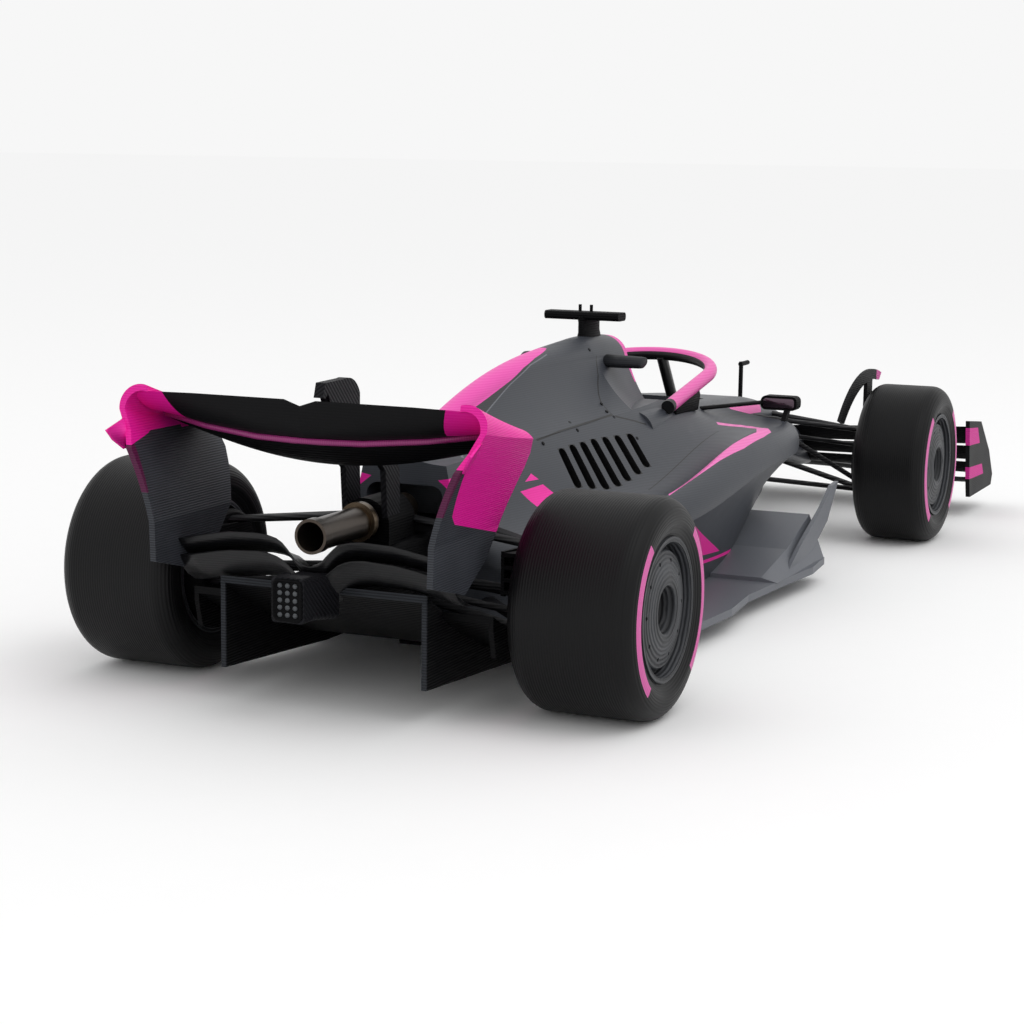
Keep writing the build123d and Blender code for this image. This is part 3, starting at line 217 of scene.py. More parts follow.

# Sidepods: graphite shells glued to the cell, with seven louvre slots in each deck, whose insides are painted near
# black as painted shade.
# A pink stripe follows the shoulder and turns in at the front, drawn pale pink as a painted highlight, and neon pink
# blocks lie low on the flank and at the tail.
louvre_width = 2.64
louvre_shade_areas = []
for top, foot in (
    ((-65.4, 12.7, 38.0), (-66.5, 17.6, 30.7)), ((-60.8, 13.2, 38.3), (-62.1, 18.8, 30.0)),
    ((-56.3, 13.7, 38.4), (-57.7, 20.1, 29.4)), ((-51.6, 14.1, 38.5), (-53.2, 20.9, 29.5)),
    ((-46.8, 14.6, 38.3), (-48.5, 21.2, 30.0)), ((-41.8, 15.3, 38.1), (-43.4, 21.4, 30.7)),
    ((-36.6, 16.0, 37.8), (-38.6, 21.5, 31.6)),
):
    top, foot = Vector(top), Vector(foot)
    outward = Vector((0, top.z - foot.z, foot.y - top.y)).normalized()
    down = (foot - top).normalized()
    aside = outward.cross(down)
    left, right = (aside.dot(top) + side * louvre_width / 2 for side in (-1, 1))
    louvre_shade_areas.append([((down, aside), [
        (down.dot(top), left), (down.dot(foot), left), (down.dot(foot), right), (down.dot(top), right),
    ])])
deck = ("xz", [(-56.0, 26.0), (14.0, 33.8), (14.0, 44.0), (-56.0, 44.0)])
pod_plastic = printed_plastic(
    "PLA_graphite_sanded_sidepod", "#33363c", "#41444b", 0.4, 0.04, 0.42, specular=0.35,
    paints=[
        # painted shade: the louvre slots are drawn near black
        ("#040405", "#0a0a0b", louvre_shade_areas),
        (seam_dark, seam_light, [
            [stroke("xy", (-47.0, 24.8), (-5.0, 25.3), 0.2), deck],
            [stroke("xy", (-36.9, 13.3), (-31.1, 15.1), 0.3), deck],
            [stroke("xy", (-31.1, 15.1), (-27.2, 16.6), 0.3), deck],
            [stroke("xz", (-72.6, 40.4), (-62.0, 41.05), 0.35)],
        ]),
        # painted highlight: the stripe's pink is drawn pale
        (highlight_pink_dark, highlight_pink_light, [
            [("xy", [(-51.8, 30.95), (-26.7, 33.1), (-23.3, 31.8), (-50.6, 30.3)]), deck],
            [("xy", [(-26.7, 33.1), (-15.4, 34.5), (-2.3, 34.9), (-2.1, 33.0), (-23.3, 31.8)]), deck],
            [("xy", [(-2.3, 34.9), (3.6, 34.6), (7.4, 32.0), (6.0, 30.4), (-2.1, 33.0)]), deck],
            [("xy", [(7.4, 32.0), (10.4, 28.0), (9.6, 25.4), (6.4, 26.6), (6.0, 30.4)]), deck],
            [("xy", [(9.6, 25.4), (6.4, 27.0), (0.5, 23.2), (2.6, 22.1)]), deck],
        ]),
        (pink_dark, pink_light, [
            [("xz", [(-49.6, 23.4), (-13.7, 10.7), (-27.4, 11.8)])],
            [("xz", [(-25.7, 9.6), (-25.7, 10.4), (-1.8, 9.1), (-1.8, 8.3)])],
            [("xz", [(-85.9, 32.3), (-77.7, 32.7), (-75.4, 30.6), (-83.2, 29.2)])],
            [("xz", [(-83.0, 33.8), (-80.0, 35.0), (-78.3, 33.7)])],
            [
                ("yz", [(6.8, 36.9), (10.6, 37.6), (9.2, 35.0)]),
                ("xz", [(-109, 30), (-106, 30), (-106, 40), (-109, 40)]),
            ],
        ]),
    ],
)
wear(pod_plastic, "sidepod_left", "sidepod_right")

# Engine cover and airbox: one graphite shell over the engine, with the air intake as a cap on its front.
# A pink band runs up each side of the spine above a crease that is painted darker as painted shade and edged
# with a thin painted highlight; the intake has a pink lip, and dark joints run between the shells.
cover_plastic = printed_plastic(
    "PLA_graphite_sanded_cover", "#33363c", "#41444b", 0.4, 0.04, 0.42, specular=0.35,
    paints=[
        # painted shade: the crease under the pink band is drawn darker than the grey
        ("#2a2b2f", "#34363a", [
            [("xz", [(-100.0, 40.2), (-68.5, 50.4), (-67.5, 51.2), (-79.0, 48.6), (-100.0, 43.8)])],
            [("xz", [(-68.5, 50.4), (-57.4, 53.4), (-53.7, 54.4), (-60.6, 53.1), (-67.5, 51.2)])],
        ]),
        # painted highlight: a thin pale line along the crease's edge
        ("#64666d", "#74767d", [
            [stroke("xz", (-100.0, 40.1), (-68.5, 50.4), 0.22)],
            [stroke("xz", (-68.5, 50.4), (-57.4, 53.4), 0.22)],
            [stroke("xz", (-57.4, 53.4), (-48.0, 54.8), 0.18)],
        ]),
        ("#ea3aa8", "#f45cba", [
            [("xz", [(-112.0, 41.2), (-79.0, 48.6), (-67.5, 51.2), (-67.5, 60.0), (-112.0, 60.0)])],
            [("xz", [(-67.5, 51.2), (-60.6, 53.1), (-60.6, 60.0), (-67.5, 60.0)])],
            [("xz", [(-60.6, 53.1), (-53.7, 54.45), (-53.7, 60.0), (-60.6, 60.0)])],
            [("xz", [(-53.7, 54.45), (-44.6, 55.7), (-44.6, 60.0), (-53.7, 60.0)])],
            [("xz", [(-11.6, 57.5), (-8.0, 57.5), (-8.0, 46.0), (-10.6, 46.0)])],
        ]),
        (seam_dark, seam_light, [
            [stroke("xz", (-72.6, 40.4), (-62.0, 41.05), 0.35)],
            [stroke("xz", (-62.0, 41.05), (-37.6, 41.85), 0.35)],
            [stroke("xz", (-37.4, 41.8), (-36.9, 44.1), 0.3)],
            [stroke("xz", (-36.9, 44.1), (-34.9, 45.9), 0.3)],
            [stroke("xz", (-34.9, 45.9), (-30.4, 49.2), 0.3)],
            [stroke("xz", (-30.4, 49.2), (-27.3, 53.0), 0.3)],
        ]),
    ],
)
wear(cover_plastic, "engine_cover", "airbox")

# Cover screws: small black countersunk heads along the joints of the cover, eight on each side.
# They are dark spots with a hollow middle that the key sits in.


def turned(mesh, profile, foot, axis, steps):
    """Spins a profile of radius and height, in mm, about an axis that rises from its foot."""
    place = Matrix.Translation(foot) @ axis.to_track_quat("Z", "Y").to_matrix().to_4x4()
    points = [mesh.verts.new(place @ Vector((radius * 0.001, 0, height * 0.001))) for radius, height in profile]
    edges = [mesh.edges.new(pair) for pair in zip(points, points[1:])]
    bmesh.ops.spin(
        mesh, geom=points + edges, cent=foot, axis=axis, dvec=(0, 0, 0), angle=math.tau, steps=steps, use_merge=True,
    )


def finished(mesh, name, material):
    """Turns a bmesh into a piece with a material and a slot that rides on the chassis."""
    bmesh.ops.remove_doubles(mesh, verts=mesh.verts, dist=1e-7)
    bmesh.ops.recalc_face_normals(mesh, faces=mesh.faces)
    data = bpy.data.meshes.new(name)
    mesh.to_mesh(data)
    mesh.free()
    data.shade_smooth()
    piece = bpy.data.objects.new(name, data)
    bpy.context.scene.collection.objects.link(piece)
    piece.data.materials.append(material)
    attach(piece, "chassis")
    return piece


screw_steel = printed_plastic("Steel_black_oxide_screw", "#0a0a0b", "#141416", 0.2, 0.1, 0.4)
screws = bmesh.new()
for side in (1, -1):
    for x, y, z, outward_y, outward_z in (
        (-29.4, 4.19, 54.35, 0.83, 0.55), (-37.3, 10.33, 43.99, 0.69, 0.72), (-38.2, 11.91, 42.55, 0.64, 0.76),
        (-37.6, 13.27, 41.4, 0.83, 0.55), (-34.7, 17.42, 36.95, 0.72, 0.68), (-55.4, 10.71, 41.99, 0.68, 0.73),
        (-55.2, 12.31, 40.56, 0.83, 0.55), (-70.9, 11.57, 39.65, 0.83, 0.55),
    ):
        seat = Vector((x, side * y, z)) * 0.001
        turned(
            screws, [(0.42, -0.2), (0.42, 0.04), (0.34, 0.1), (0.18, 0.1), (0.14, -0.06), (0.0, -0.06)],
            seat, Vector((-0.07, side * outward_y, outward_z)).normalized(), 12,
        )
finished(screws, "cover_screws", screw_steel)

# Cockpit: seat, headrest pad and steering wheel, black printed pieces dropped in from above.
# They are rougher than the tail's, with coarse layers.
cockpit_plastic = printed_plastic("PLA_black_printed_coarse", "#101011", "#1e1e20", 0.7, 0.5, 0.62)
wear(cockpit_plastic, "seat", "headrest", "steering_wheel")

# Halo: a bent bar over the cockpit, painted neon pink on top and outside, and left black inside the ring,
# on the pillar and at both rear ends. The pink is even and slightly glossy, and drawn pale as a painted highlight.
ring_rise, ring_start_x, ring_start_z = 0.18, -15.2, 41.4


def ring_z(x):
    """Height of the middle of the halo's bar."""
    return ring_start_z + ring_rise * (x - ring_start_x)


bend_x, ring_radius = 9.8, 16.7
inner_ring = [(-20.0, -1.0), (-20.0, ring_radius)] + [
    (bend_x + ring_radius * math.sin(math.radians(turn)), ring_radius * math.cos(math.radians(turn)))
    for turn in range(0, 91, 15)
] + [(bend_x + ring_radius, -1.0)]
# the pink is drawn pale as a painted highlight
halo_plastic = printed_plastic(
    "PLA_black_painted_pale_pink_outside", "#e850aa", "#f472be", 0.5, 0.08, 0.4, specular=0.4,
    paints=[("#0b0b0c", "#161618", [
        [("xy", inner_ring), ("xz", [(-25, 30), (50, 30), (50, ring_z(50) + 0.85), (-25, ring_z(-25) + 0.85)])],
        [("yz", [(0, 30), (4, 30), (4, 52), (0, 52)]), ("xz", [(15, 30), (50, 30), (50, 48.2), (15, 48.2)])],
        [("xz", [(-20, 30), (-13.8, 30), (-13.8, 50), (-20, 50)])],
    ])],
)
wear(halo_plastic, "halo")

# Halo feet: black gussets between the bar and the rim of the cell, moulded with the halo and glued to the rim.
# Their eased edges catch a thin line of light.


def lofted(mesh, rings, capped=True):
    """Skins rings of points in mm, each in order round a section, and closes both ends."""
    loops = [[mesh.verts.new(Vector(point) * 0.001) for point in ring] for ring in rings]
    edges = [[mesh.edges.new(pair) for pair in zip(loop, loop[1:] + loop[:1])] for loop in loops]
    for first, second in zip(edges, edges[1:]):
        bmesh.ops.bridge_loops(mesh, edges=first + second)
    if capped:
        mesh.faces.new(loops[0])
        mesh.faces.new(loops[-1][::-1])


gusset_inner_y, gusset_outer_y = 15.9, 17.7
gussets = bmesh.new()
for side in (1, -1):
    outline = [(-11.5, 39.4), (-11.5, ring_z(-11.5) - 1.0), (3.4, ring_z(3.4) - 1.0), (4.4, 42.4), (3.0, 39.0)]
    lofted(gussets, [[(x, side * y, z) for x, z in outline] for y in (gusset_inner_y, gusset_outer_y)])
bmesh.ops.bevel(gussets, geom=gussets.edges, offset=0.0003, segments=2, affect="EDGES", profile=0.5)
finished(gussets, "halo_feet", black_plastic)

# Mirrors: black housings on stays, each with a glass set in its rear face.
# The glass is a dark mirror that picks up the floor, and its mauve tint is a painted reflection of the pink of the
# shoulder.


def rounded(middle, across, up, width, height, corner):
    """Points of a rounded rectangle in mm about a middle, across and up being its directions."""
    points = []
    for quarter, (right, top) in enumerate(((1, 1), (-1, 1), (-1, -1), (1, -1))):
        for step in range(5):
            turn = math.radians(90 * quarter + 22.5 * step)
            points.append(
                Vector(middle)
                + Vector(across) * (right * (width / 2 - corner) + corner * math.cos(turn))
                + Vector(up) * (top * (height / 2 - corner) + corner * math.sin(turn))
            )
    return points


wear(black_plastic, "mirrors")
# painted reflection: the glass is tinted mauve for the pink it reflects
glass = printed_plastic("Mirror_glass_smoked", "#4a3d46", "#6a5864", 3.0, 0.0, 0.16, specular=0.5)
glass.node_tree.nodes["Principled BSDF"].inputs["Metallic"].default_value = 0.85
mirror_y, mirror_z = 30.0, 39.2
glass_longer_than_high = 5.2
glasses = bmesh.new()
for side in (1, -1):
    lofted(glasses, [
        rounded(
            (x, side * mirror_y, mirror_z), (0, 1, 0), (0, 0, 1), width, width - glass_longer_than_high, corner,
        )
        for x, width, corner in ((23.5, 7.4, 0.7), (23.22, 7.4, 0.7), (23.12, 7.2, 0.6))
    ])
finished(glasses, "mirror_glasses", glass)

# Side cameras: thick streamlined horns on the flanks of the airbox, with an oval flat at each end.
# They are dark grey plastic, a little paler than the black pieces.


def oval(middle, first, second, steps=24):
    """Points of an oval in mm about a middle, first and second being its half axes."""
    turns = [math.tau * step / steps for step in range(steps)]
    return [Vector(middle) + Vector(first) * math.cos(turn) + Vector(second) * math.sin(turn) for turn in turns]


horn_plastic = printed_plastic("PLA_dark_grey_sanded_horn", "#232427", "#313236", 0.4, 0.08, 0.5)
pitch = math.radians(9)
horn_x, horn_z, horn_sweep = -22.2, 51.5, 0.04
horn_rings = [
    # distance from the middle, half length, half thickness
    (4.6, 2.7, 1.3), (9.0, 2.6, 1.25), (13.4, 2.4, 1.15), (13.9, 2.3, 1.08), (14.1, 2.0, 0.85),
]
horns = bmesh.new()
for side in (1, -1):
    lofted(horns, [
        oval(
            (horn_x - horn_sweep * (y - 4), side * y, horn_z),
            (half * math.cos(pitch), 0, half * math.sin(pitch)),
            (-thick * math.sin(pitch), 0, thick * math.cos(pitch)),
        )
        for y, half, thick in horn_rings
    ])
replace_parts(finished(horns, "side_cameras", horn_plastic), "camera_horns")

# Roof camera and probe: a cross bar on a streamlined mast, with two short aerials, and a thin probe on the nose.
# The mast flares where it meets the intake and the bar.
wear(black_plastic, "roof_camera", "speed_probe")
mast_x = -19.4
mast_rings = [
    # height, half length, half thickness
    (55.2, 5.6, 2.1), (56.6, 5.3, 1.7), (57.6, 5.0, 1.45), (59.2, 5.0, 1.4), (60.2, 5.3, 1.6), (60.5, 5.5, 2.0),
]
mast = bmesh.new()
lofted(mast, [oval((mast_x, 0, z), (half, 0, 0), (0, thick, 0)) for z, half, thick in mast_rings])
finished(mast, "roof_camera_mast", black_plastic)

# Suspension: thin black arms, printed lying down, so their layers run along them as ribs.
# The ribs give each arm a striped glint.
arm_plastic = printed_plastic("PLA_black_printed_ribbed", "#0b0b0c", "#242427", 0.55, 0.8, 0.5)
wear(
    arm_plastic, "front_upper_wishbones", "front_lower_wishbones", "front_push_rods", "front_track_rods",
    "rear_upper_wishbones", "rear_lower_wishbones", "rear_toe_links", "driveshafts",
)

# Front wing: black main plane and flaps slotted into the endplates, which carry two pink blocks each.
# The planes are the same layered black as the tail.
wear(black_plastic, "front_wing_main_plane", "front_wing_flaps")
front_plate_plastic = printed_plastic(
    "PLA_black_front_endplate", "#101011", "#1c1c1e", 0.5, 0.4, 0.5,
    paints=[("#e02c98", "#ee48ac", [
        [("xz", [(117.0, 24.6), (128.2, 23.6), (131.3, 19.1), (117.0, 19.9)])],
        [("xz", [(117.0, 14.0), (135.1, 13.0), (137.4, 10.0), (117.0, 10.7)])],
    ])],
)
wear(front_plate_plastic, "front_wing_endplates")

# Rear wing: black main plane and flap between two endplates whose tips roll over into the flap.
# The tips and the outer faces are neon pink, the inner faces and the lower parts black with fine layers, drawn up to
# a mid grey as a painted sheen.
wear(black_plastic, "rear_wing_main_plane")
wear(hatched_plastic, "rear_wing_pylons", "flap_actuator")
flap_plastic = printed_plastic(
    "PLA_black_flap_pink_ends", "#0c0c0d", "#141416", 0.5, 0.1, 0.5,
    paints=[(pink_dark, pink_light, [[("yz", [(27.7, 57.0), (24.8, 50.0), (40.0, 50.0), (40.0, 57.0)])]])],
)
wear(flap_plastic, "rear_wing_flap")
# painted sheen: the black is drawn from near black up to a mid grey
rear_plate_plastic = printed_plastic(
    "PLA_black_rear_endplate_pink", "#17181c", "#4e5158", 0.42, 0.4, 0.45, specular=0.25,
    paints=[
        # painted shade: along the trailing edge below the tip, a dark strip is drawn in dark maroon, pink in shade
        ("#4a1436", "#6a2450", [[("xz", [(-152, 38), (-150.9, 38), (-149.8, 47.0), (-152, 47.0)])]]),
        (pink_dark, pink_light, [
            [("xz", [(-160, 44.0), (-144.7, 47.2), (-144.7, 70), (-160, 70)])],
            [("xz", [(-144.7, 47.2), (-141.8, 48.4), (-141.8, 70), (-144.7, 70)])],
            [("xz", [(-141.8, 48.4), (-133.0, 49.4), (-100, 51.0), (-100, 70), (-141.8, 70)])],
            [("yz", [(31.5, 46.9), (31.3, 51.0), (45.0, 51.0), (45.0, 46.9)])],
            [
                ("yz", [(31.5, 46.9), (29.0, 48.7), (29.0, 53.0), (45.0, 53.0), (45.0, 46.9)]),
                ("xz", [(-134, 40), (-100, 40), (-100, 60), (-134, 60)]),
            ],
            [
                ("yz", [(26.15, 24.0), (26.2, 33.0), (31.5, 47.0), (45.0, 47.0), (45.0, 24.0)]),
                ("xz", [(-148.0, 47.5), (-149.4, 46.0), (-147.4, 37.6), (-145.4, 36.0), (-110, 28.1), (-110, 47.5)]),
            ],
        ]),
    ],
)
wear(rear_plate_plastic, "rear_wing_endplates")

# Endplate lips: the pink tips are drawn out at the back into a small pointed lip, moulded with the plate.
# The lip's eased edge shines against the dark inner face.
lip_plastic = printed_plastic("PLA_neon_pink_lip", pink_dark, pink_light, 0.42, 0.1, 0.42, specular=0.3)
lips = bmesh.new()
for side in (1, -1):
    outline = [
        (-147.4, 33.6, 50.6), (-148.9, 34.0, 49.8), (-153.0, 34.2, 48.4), (-152.5, 33.3, 46.9), (-151.2, 32.0, 45.3),
        (-149.4, 31.9, 45.6), (-148.2, 32.8, 48.0),
    ]
    lofted(lips, [[(x, side * (y - inset), z + inset * 0.3) for x, y, z in outline] for inset in (-0.1, 0.4)])
bmesh.ops.bevel(lips, geom=lips.edges, offset=0.00016, segments=2, affect="EDGES", profile=0.5)
finished(lips, "rear_endplate_lips", lip_plastic)

# Slot bead: a thin strip pressed into the slot between main plane and flap, painted a dull pink.
# It shows as a fine line across the wing with a thread of light on it.
bead_plastic = printed_plastic("PLA_dull_pink_bead", "#8c2468", "#b44088", 0.4, 0.1, 0.35, "Y", specular=0.5)
bead = bmesh.new()
line = [(31.4, -138.8, 50.3), (21.0, -141.9, 48.95), (10.0, -143.75, 48.05), (3.0, -144.5, 47.95)]
lofted(bead, [
    oval((x, y, z - 0.1), (0.75, 0, 0), (0, 0, 0.6), 12)
    for y, x, z in line + [(-y, x, z) for y, x, z in line[::-1]]
])
finished(bead, "rear_wing_slot_bead", bead_plastic)

# Beam wing: two steep black plates, one over the other, held between the endplates and dipping under the exhaust.
# They are smoother than the other black pieces, so that each rear edge draws a fine line of light.
beam_plastic = printed_plastic("PLA_black_smooth_beam_plate", "#0b0b0c", "#17171a", 0.5, 0.15, 0.36, specular=0.35)
beam_chord, beam_thickness = 8.0, 0.8
camber = [
    # shares of the chord, of the fall and of the thickness
    (0.0, 0.0, 0.4), (0.12, 0.24, 0.9), (0.38, 0.6, 1.0), (0.7, 0.87, 0.9), (1.0, 1.0, 0.4),
]
plates = bmesh.new()
for edge_x, drop, edge in (
    (-144.0, 4.4, [
        (0.0, 26.2), (1.7, 26.6), (2.9, 27.4), (4.2, 28.9), (5.2, 29.9), (6.4, 30.6), (8.0, 31.0), (10.2, 31.2),
        (15.7, 31.0), (18.6, 30.5), (22.0, 29.9), (24.6, 29.3), (26.2, 28.9),
    ]),
    (-143.6, 5.4, [
        (0.0, 24.2), (2.6, 24.6), (4.2, 26.0), (5.2, 26.8), (6.5, 27.4), (8.0, 27.8), (10.2, 28.0), (15.7, 27.7),
        (18.6, 27.3), (22.4, 26.6), (26.2, 26.0),
    ]),
):
    lofted(plates, [
        [
            (edge_x + along * beam_chord, y, z - fall * drop + face * thick * beam_thickness / 2)
            for face, run in ((1, camber), (-1, camber[::-1])) for along, fall, thick in run
        ]
        for y, z in [(-y, z) for y, z in edge[:0:-1]] + edge
    ])
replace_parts(finished(plates, "beam_wing_plates", beam_plastic), "beam_wing")

# Rain light: a black block on the crash structure with a raised frame and fifteen grey lenses in three columns.
# Each lens is a shallow dome of smoked milky plastic.
wear(hatched_plastic, "rain_light")
light_low, light_high = (Vector(corner) * 1000 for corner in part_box("rain_light"))
light_middle = (light_low + light_high) / 2
panel_rings = [
    # place behind the block's face, width, corner
    (0.2, 5.7, 1.1), (-0.3, 5.6, 1.1), (-0.42, 5.3, 1.0), (-0.42, 4.9, 0.8), (-0.08, 4.7, 0.7), (-0.06, 4.5, 0.6),
]
panel_higher_than_wide = 1.6
panel = bmesh.new()
lofted(panel, [
    rounded(
        (light_low.x + x, 0, light_middle.z), (0, 1, 0), (0, 0, 1), width, width + panel_higher_than_wide, corner,
    )
    for x, width, corner in panel_rings
])
finished(panel, "rain_light_frame", black_plastic)
lens_plastic = printed_plastic("PLA_smoked_milky_lens", "#434649", "#606366", 0.3, 0.05, 0.3, specular=0.3)
column_pitch, row_pitch = 1.45, 1.25
lenses = bmesh.new()
for column in (-1, 0, 1):
    for row in (-2, -1, 0, 1, 2):
        foot = Vector((light_low.x, column * column_pitch, light_middle.z + row * row_pitch)) * 0.001
        turned(lenses, [(0.46, -0.05), (0.44, 0.14), (0.3, 0.26), (0.0, 0.32)], foot, Vector((-1, 0, 0)), 14)
finished(lenses, "rain_light_lenses", lens_plastic)

# Exhaust: a straight tail pipe with a collar, brushed with gunmetal paint over black.
# The metal flake gives a soft streak of light along it, and the collar is warmed to bronze.
metal = printed_plastic(
    "Gunmetal_paint_brushed", "#37312c", "#564d45", 0.35, 0.12, 0.3, "X", specular=0.5,
    paints=[("#54483a", "#746450", [[("xz", [(-127.6, 20), (-125.6, 20), (-125.6, 40), (-127.6, 40)])]])],
)
metal.node_tree.nodes["Principled BSDF"].inputs["Metallic"].default_value = 0.85
wear(metal, "exhaust_pipe")

# Uprights: brake drums with stub axles and duct winglets, black printed pieces inside the wheels.
# The fins of the front ones end in a pink tip.
wear(black_plastic, "upright_rear_left", "upright_rear_right")
fin_plastic = printed_plastic(
    "PLA_black_fin_pink_tip", "#0d0d0e", "#18181a", 0.5, 0.5, 0.55,
    paints=[("#d85aa6", "#e878b8", [[("xz", [(88.0, 38.0), (96.0, 38.0), (96.0, 46.0), (88.0, 46.0)])]])],
)
wear(fin_plastic, "upright_front_left", "upright_front_right")

# Wheels and tyres: grey printed covers with rings from the nozzle's path, in slick tyres printed in soft black.
# Fine rings run round the tread and the walls, and two pink arcs are painted on each outer wall, drawn pale pink as a
# painted highlight.


def about_axle(name, axle, dark, light, ring_mm, waver, relief, roughness):
    """Plastic with rings about an axle; gives the material, its tree, and the sockets that paint is laid by."""
    material = bpy.data.materials.new(name)
    material.use_nodes = True
    tree = material.node_tree
    place = tree.nodes.new("ShaderNodeTexCoord").outputs["Object"]
    moved = shade(
        tree, "ShaderNodeMapping", {"Vector": place, "Location": (-axle[0], 0.0, -axle[2])}, vector_type="POINT",
    ).outputs[0]
    rings = shade(
        tree, "ShaderNodeTexWave", {"Vector": moved, "Scale": 314.159 / ring_mm, "Distortion": waver},
        wave_type="RINGS", rings_direction="Y",
    ).outputs["Fac"]
    rows = shade(
        tree, "ShaderNodeTexWave", {"Vector": moved, "Scale": 314.159 / ring_mm, "Distortion": waver},
        wave_type="BANDS", bands_direction="Y",
    ).outputs["Fac"]
    drift = shade(tree, "ShaderNodeTexNoise", {"Vector": place, "Scale": 160.0, "Detail": 4.0}).outputs["Fac"]
    ridges = shade(tree, "ShaderNodeMath", {0: rings, 1: rows}, operation="ADD").outputs[0]
    both = shade(tree, "ShaderNodeMath", {0: ridges, 1: drift}, operation="ADD").outputs[0]
    share = shade(tree, "ShaderNodeMath", {0: both, 1: 0.33}, operation="MULTIPLY").outputs[0]
    colour = shade(
        tree, "ShaderNodeMix", {"Factor": share, 6: linear(dark), 7: linear(light)}, data_type="RGBA",
    ).outputs[2]
    bump = shade(tree, "ShaderNodeBump", {"Height": ridges, "Strength": relief, "Distance": ring_mm * 0.00025})
    surface = tree.nodes["Principled BSDF"]
    surface.inputs["Specular IOR Level"].default_value = 0.2
    tree.links.new(bump.outputs["Normal"], surface.inputs["Normal"])
    sheen = shade(
        tree, "ShaderNodeMapRange", {"Value": drift, "To Min": roughness - 0.06, "To Max": roughness + 0.06},
    )
    tree.links.new(sheen.outputs[0], surface.inputs["Roughness"])
    flat = shade(tree, "ShaderNodeVectorMath", {0: moved, 1: (1.0, 0.0, 1.0)}, operation="MULTIPLY").outputs[0]
    radius = shade(tree, "ShaderNodeVectorMath", {0: flat}, operation="LENGTH").outputs["Value"]
    return material, tree, radius, moved, colour, share


arc_low, arc_high, arc_spread, wall_depth = 0.0150, 0.0168, 0.64, 0.006
for joint in frame["joints"]:
    corner = joint["name"].replace("_wheel_turn", "")
    axle = joint["pos_m"]
    rubber, tree, radius, moved, colour, share = about_axle(
        "Rubber_black_slick_" + corner, axle, "#050506", "#0e0e10", 0.5, 0.0, 0.3, 0.48,
    )
    axes = shade(tree, "ShaderNodeSeparateXYZ", {0: moved}).outputs
    beside = shade(tree, "ShaderNodeMath", {0: axes["X"]}, operation="ABSOLUTE").outputs[0]
    sector = shade(tree, "ShaderNodeMath", {0: radius, 1: arc_spread}, operation="MULTIPLY").outputs[0]
    masks = [
        shade(tree, "ShaderNodeMath", {0: beside, 1: sector}, operation="GREATER_THAN").outputs[0],
        shade(tree, "ShaderNodeMath", {0: radius, 1: arc_low}, operation="GREATER_THAN").outputs[0],
        shade(tree, "ShaderNodeMath", {0: radius, 1: arc_high}, operation="LESS_THAN").outputs[0],
    ]
    low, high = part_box("tyre_" + corner)
    outer_y = max(abs(low[1]), abs(high[1]))
    from_middle = shade(tree, "ShaderNodeMath", {0: axes["Y"]}, operation="ABSOLUTE").outputs[0]
    masks.append(
        shade(tree, "ShaderNodeMath", {0: from_middle, 1: outer_y - wall_depth}, operation="GREATER_THAN").outputs[0]
    )
    arc = masks[0]
    for mask in masks[1:]:
        arc = shade(tree, "ShaderNodeMath", {0: arc, 1: mask}, operation="MULTIPLY").outputs[0]
    # painted highlight: the arcs' pink is drawn pale
    paint = shade(
        tree, "ShaderNodeMix", {"Factor": share, 6: linear("#e860b0"), 7: linear("#f484c4")}, data_type="RGBA",
    ).outputs[2]
    colour = shade(tree, "ShaderNodeMix", {"Factor": arc, 6: colour, 7: paint}, data_type="RGBA").outputs[2]
    tree.links.new(colour, tree.nodes["Principled BSDF"].inputs["Base Color"])
    wear(rubber, "tyre_" + corner)

    rim, tree, radius, moved, colour, share = about_axle(
        "PLA_wheel_grey_" + corner, axle, "#161719", "#54565a", 0.8, 1.6, 0.6, 0.45,
    )
    # painted shade: from 5 mm in towards the axle the cover darkens to near black, the shade of its deep middle hole
    depth = shade(
        tree, "ShaderNodeMapRange", {"Value": radius, "From Min": 0.002, "From Max": 0.005},
    ).outputs[0]
    colour = shade(
        tree, "ShaderNodeMix", {"Factor": depth, 6: linear("#060607"), 7: colour}, data_type="RGBA",
    ).outputs[2]
    tree.links.new(colour, tree.nodes["Principled BSDF"].inputs["Base Color"])
    wear(rim, "wheel_" + corner)

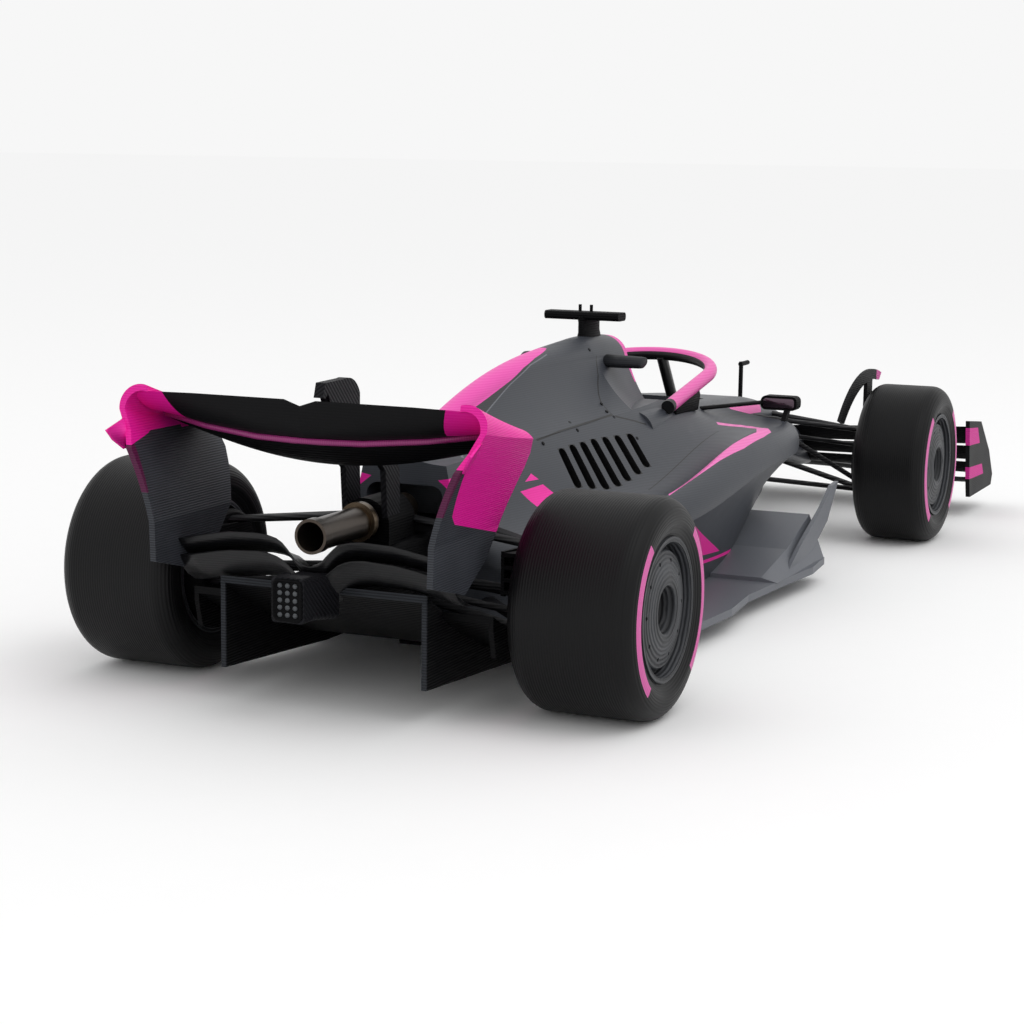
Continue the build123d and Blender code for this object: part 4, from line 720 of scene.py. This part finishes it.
# Studio: a pale paper floor with soft light from above, and the camera where the photograph was taken.
# The paper's colour drifts a little, and the sky's light is even, so that the floor keeps only soft shadows. To the
# eye the paper is white, but it throws less light back up than white paper does, as the photograph's slab does.
bpy.ops.mesh.primitive_plane_add(size=20.0)
ground = bpy.context.object
ground.name = "studio_floor"
paper = printed_plastic("Paper_white_floor", "#fcfcfc", "#ffffff", 4.0, 0.0, 0.9, specular=0.0)
tree = paper.node_tree
rays = tree.nodes.new("ShaderNodeLightPath").outputs
seen = shade(tree, "ShaderNodeMath", {0: rays["Is Camera Ray"], 1: rays["Is Glossy Ray"]}, operation="ADD").outputs[0]
seen = shade(
    tree, "ShaderNodeMath", {0: seen, 1: rays["Is Transmission Ray"]}, operation="ADD", use_clamp=True,
).outputs[0]
paper_colour = tree.nodes["Principled BSDF"].inputs["Base Color"]
sheet = shade(
    tree, "ShaderNodeMix", {"Factor": seen, 6: linear("#9c9da0"), 7: paper_colour.links[0].from_socket},
    data_type="RGBA",
).outputs[2]
tree.links.new(sheet, paper_colour)
ground.data.materials.append(paper)
ground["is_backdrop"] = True

world = bpy.data.worlds.new("studio_light")
bpy.context.scene.world = world
world.use_nodes = True
sky = world.node_tree.nodes["Background"]
sky.inputs["Color"].default_value = (1, 1, 1, 1)
sky.inputs["Strength"].default_value = 0.93

lamp = bpy.data.lights.new("overhead_softbox", "AREA")
lamp.energy = 1.0
lamp.shape = "RECTANGLE"
lamp.size = 0.5
lamp.size_y = 0.4
overhead = bpy.data.objects.new("overhead_softbox", lamp)
bpy.context.scene.collection.objects.link(overhead)
overhead.location = (-0.15, -0.45, 0.7)
overhead.rotation_euler = (math.radians(33), 0, 0)

camera_place = Vector((-0.47494, -0.183409, 0.097816))
yaw, tilt, roll = math.radians(23.816), math.radians(-9.29), math.radians(0.748)
forward = Vector((math.cos(tilt) * math.cos(yaw), math.cos(tilt) * math.sin(yaw), math.sin(tilt)))
right = forward.cross(Vector((0, 0, 1))).normalized()
up = right.cross(forward)
across = right * math.cos(roll) + up * math.sin(roll)
upright = up * math.cos(roll) - right * math.sin(roll)
camera = bpy.data.cameras.new("camera")
camera.sensor_width = 36.0
camera.lens = 2267.772 / 1024 * 36.0
camera.clip_start = 0.01
eye = bpy.data.objects.new("camera", camera)
bpy.context.scene.collection.objects.link(eye)
eye.matrix_world = Matrix.Translation(camera_place) @ Matrix((across, upright, -forward)).transposed().to_4x4()
bpy.context.scene.camera = eye
bpy.context.scene.view_settings.view_transform = "Standard"

low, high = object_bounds()
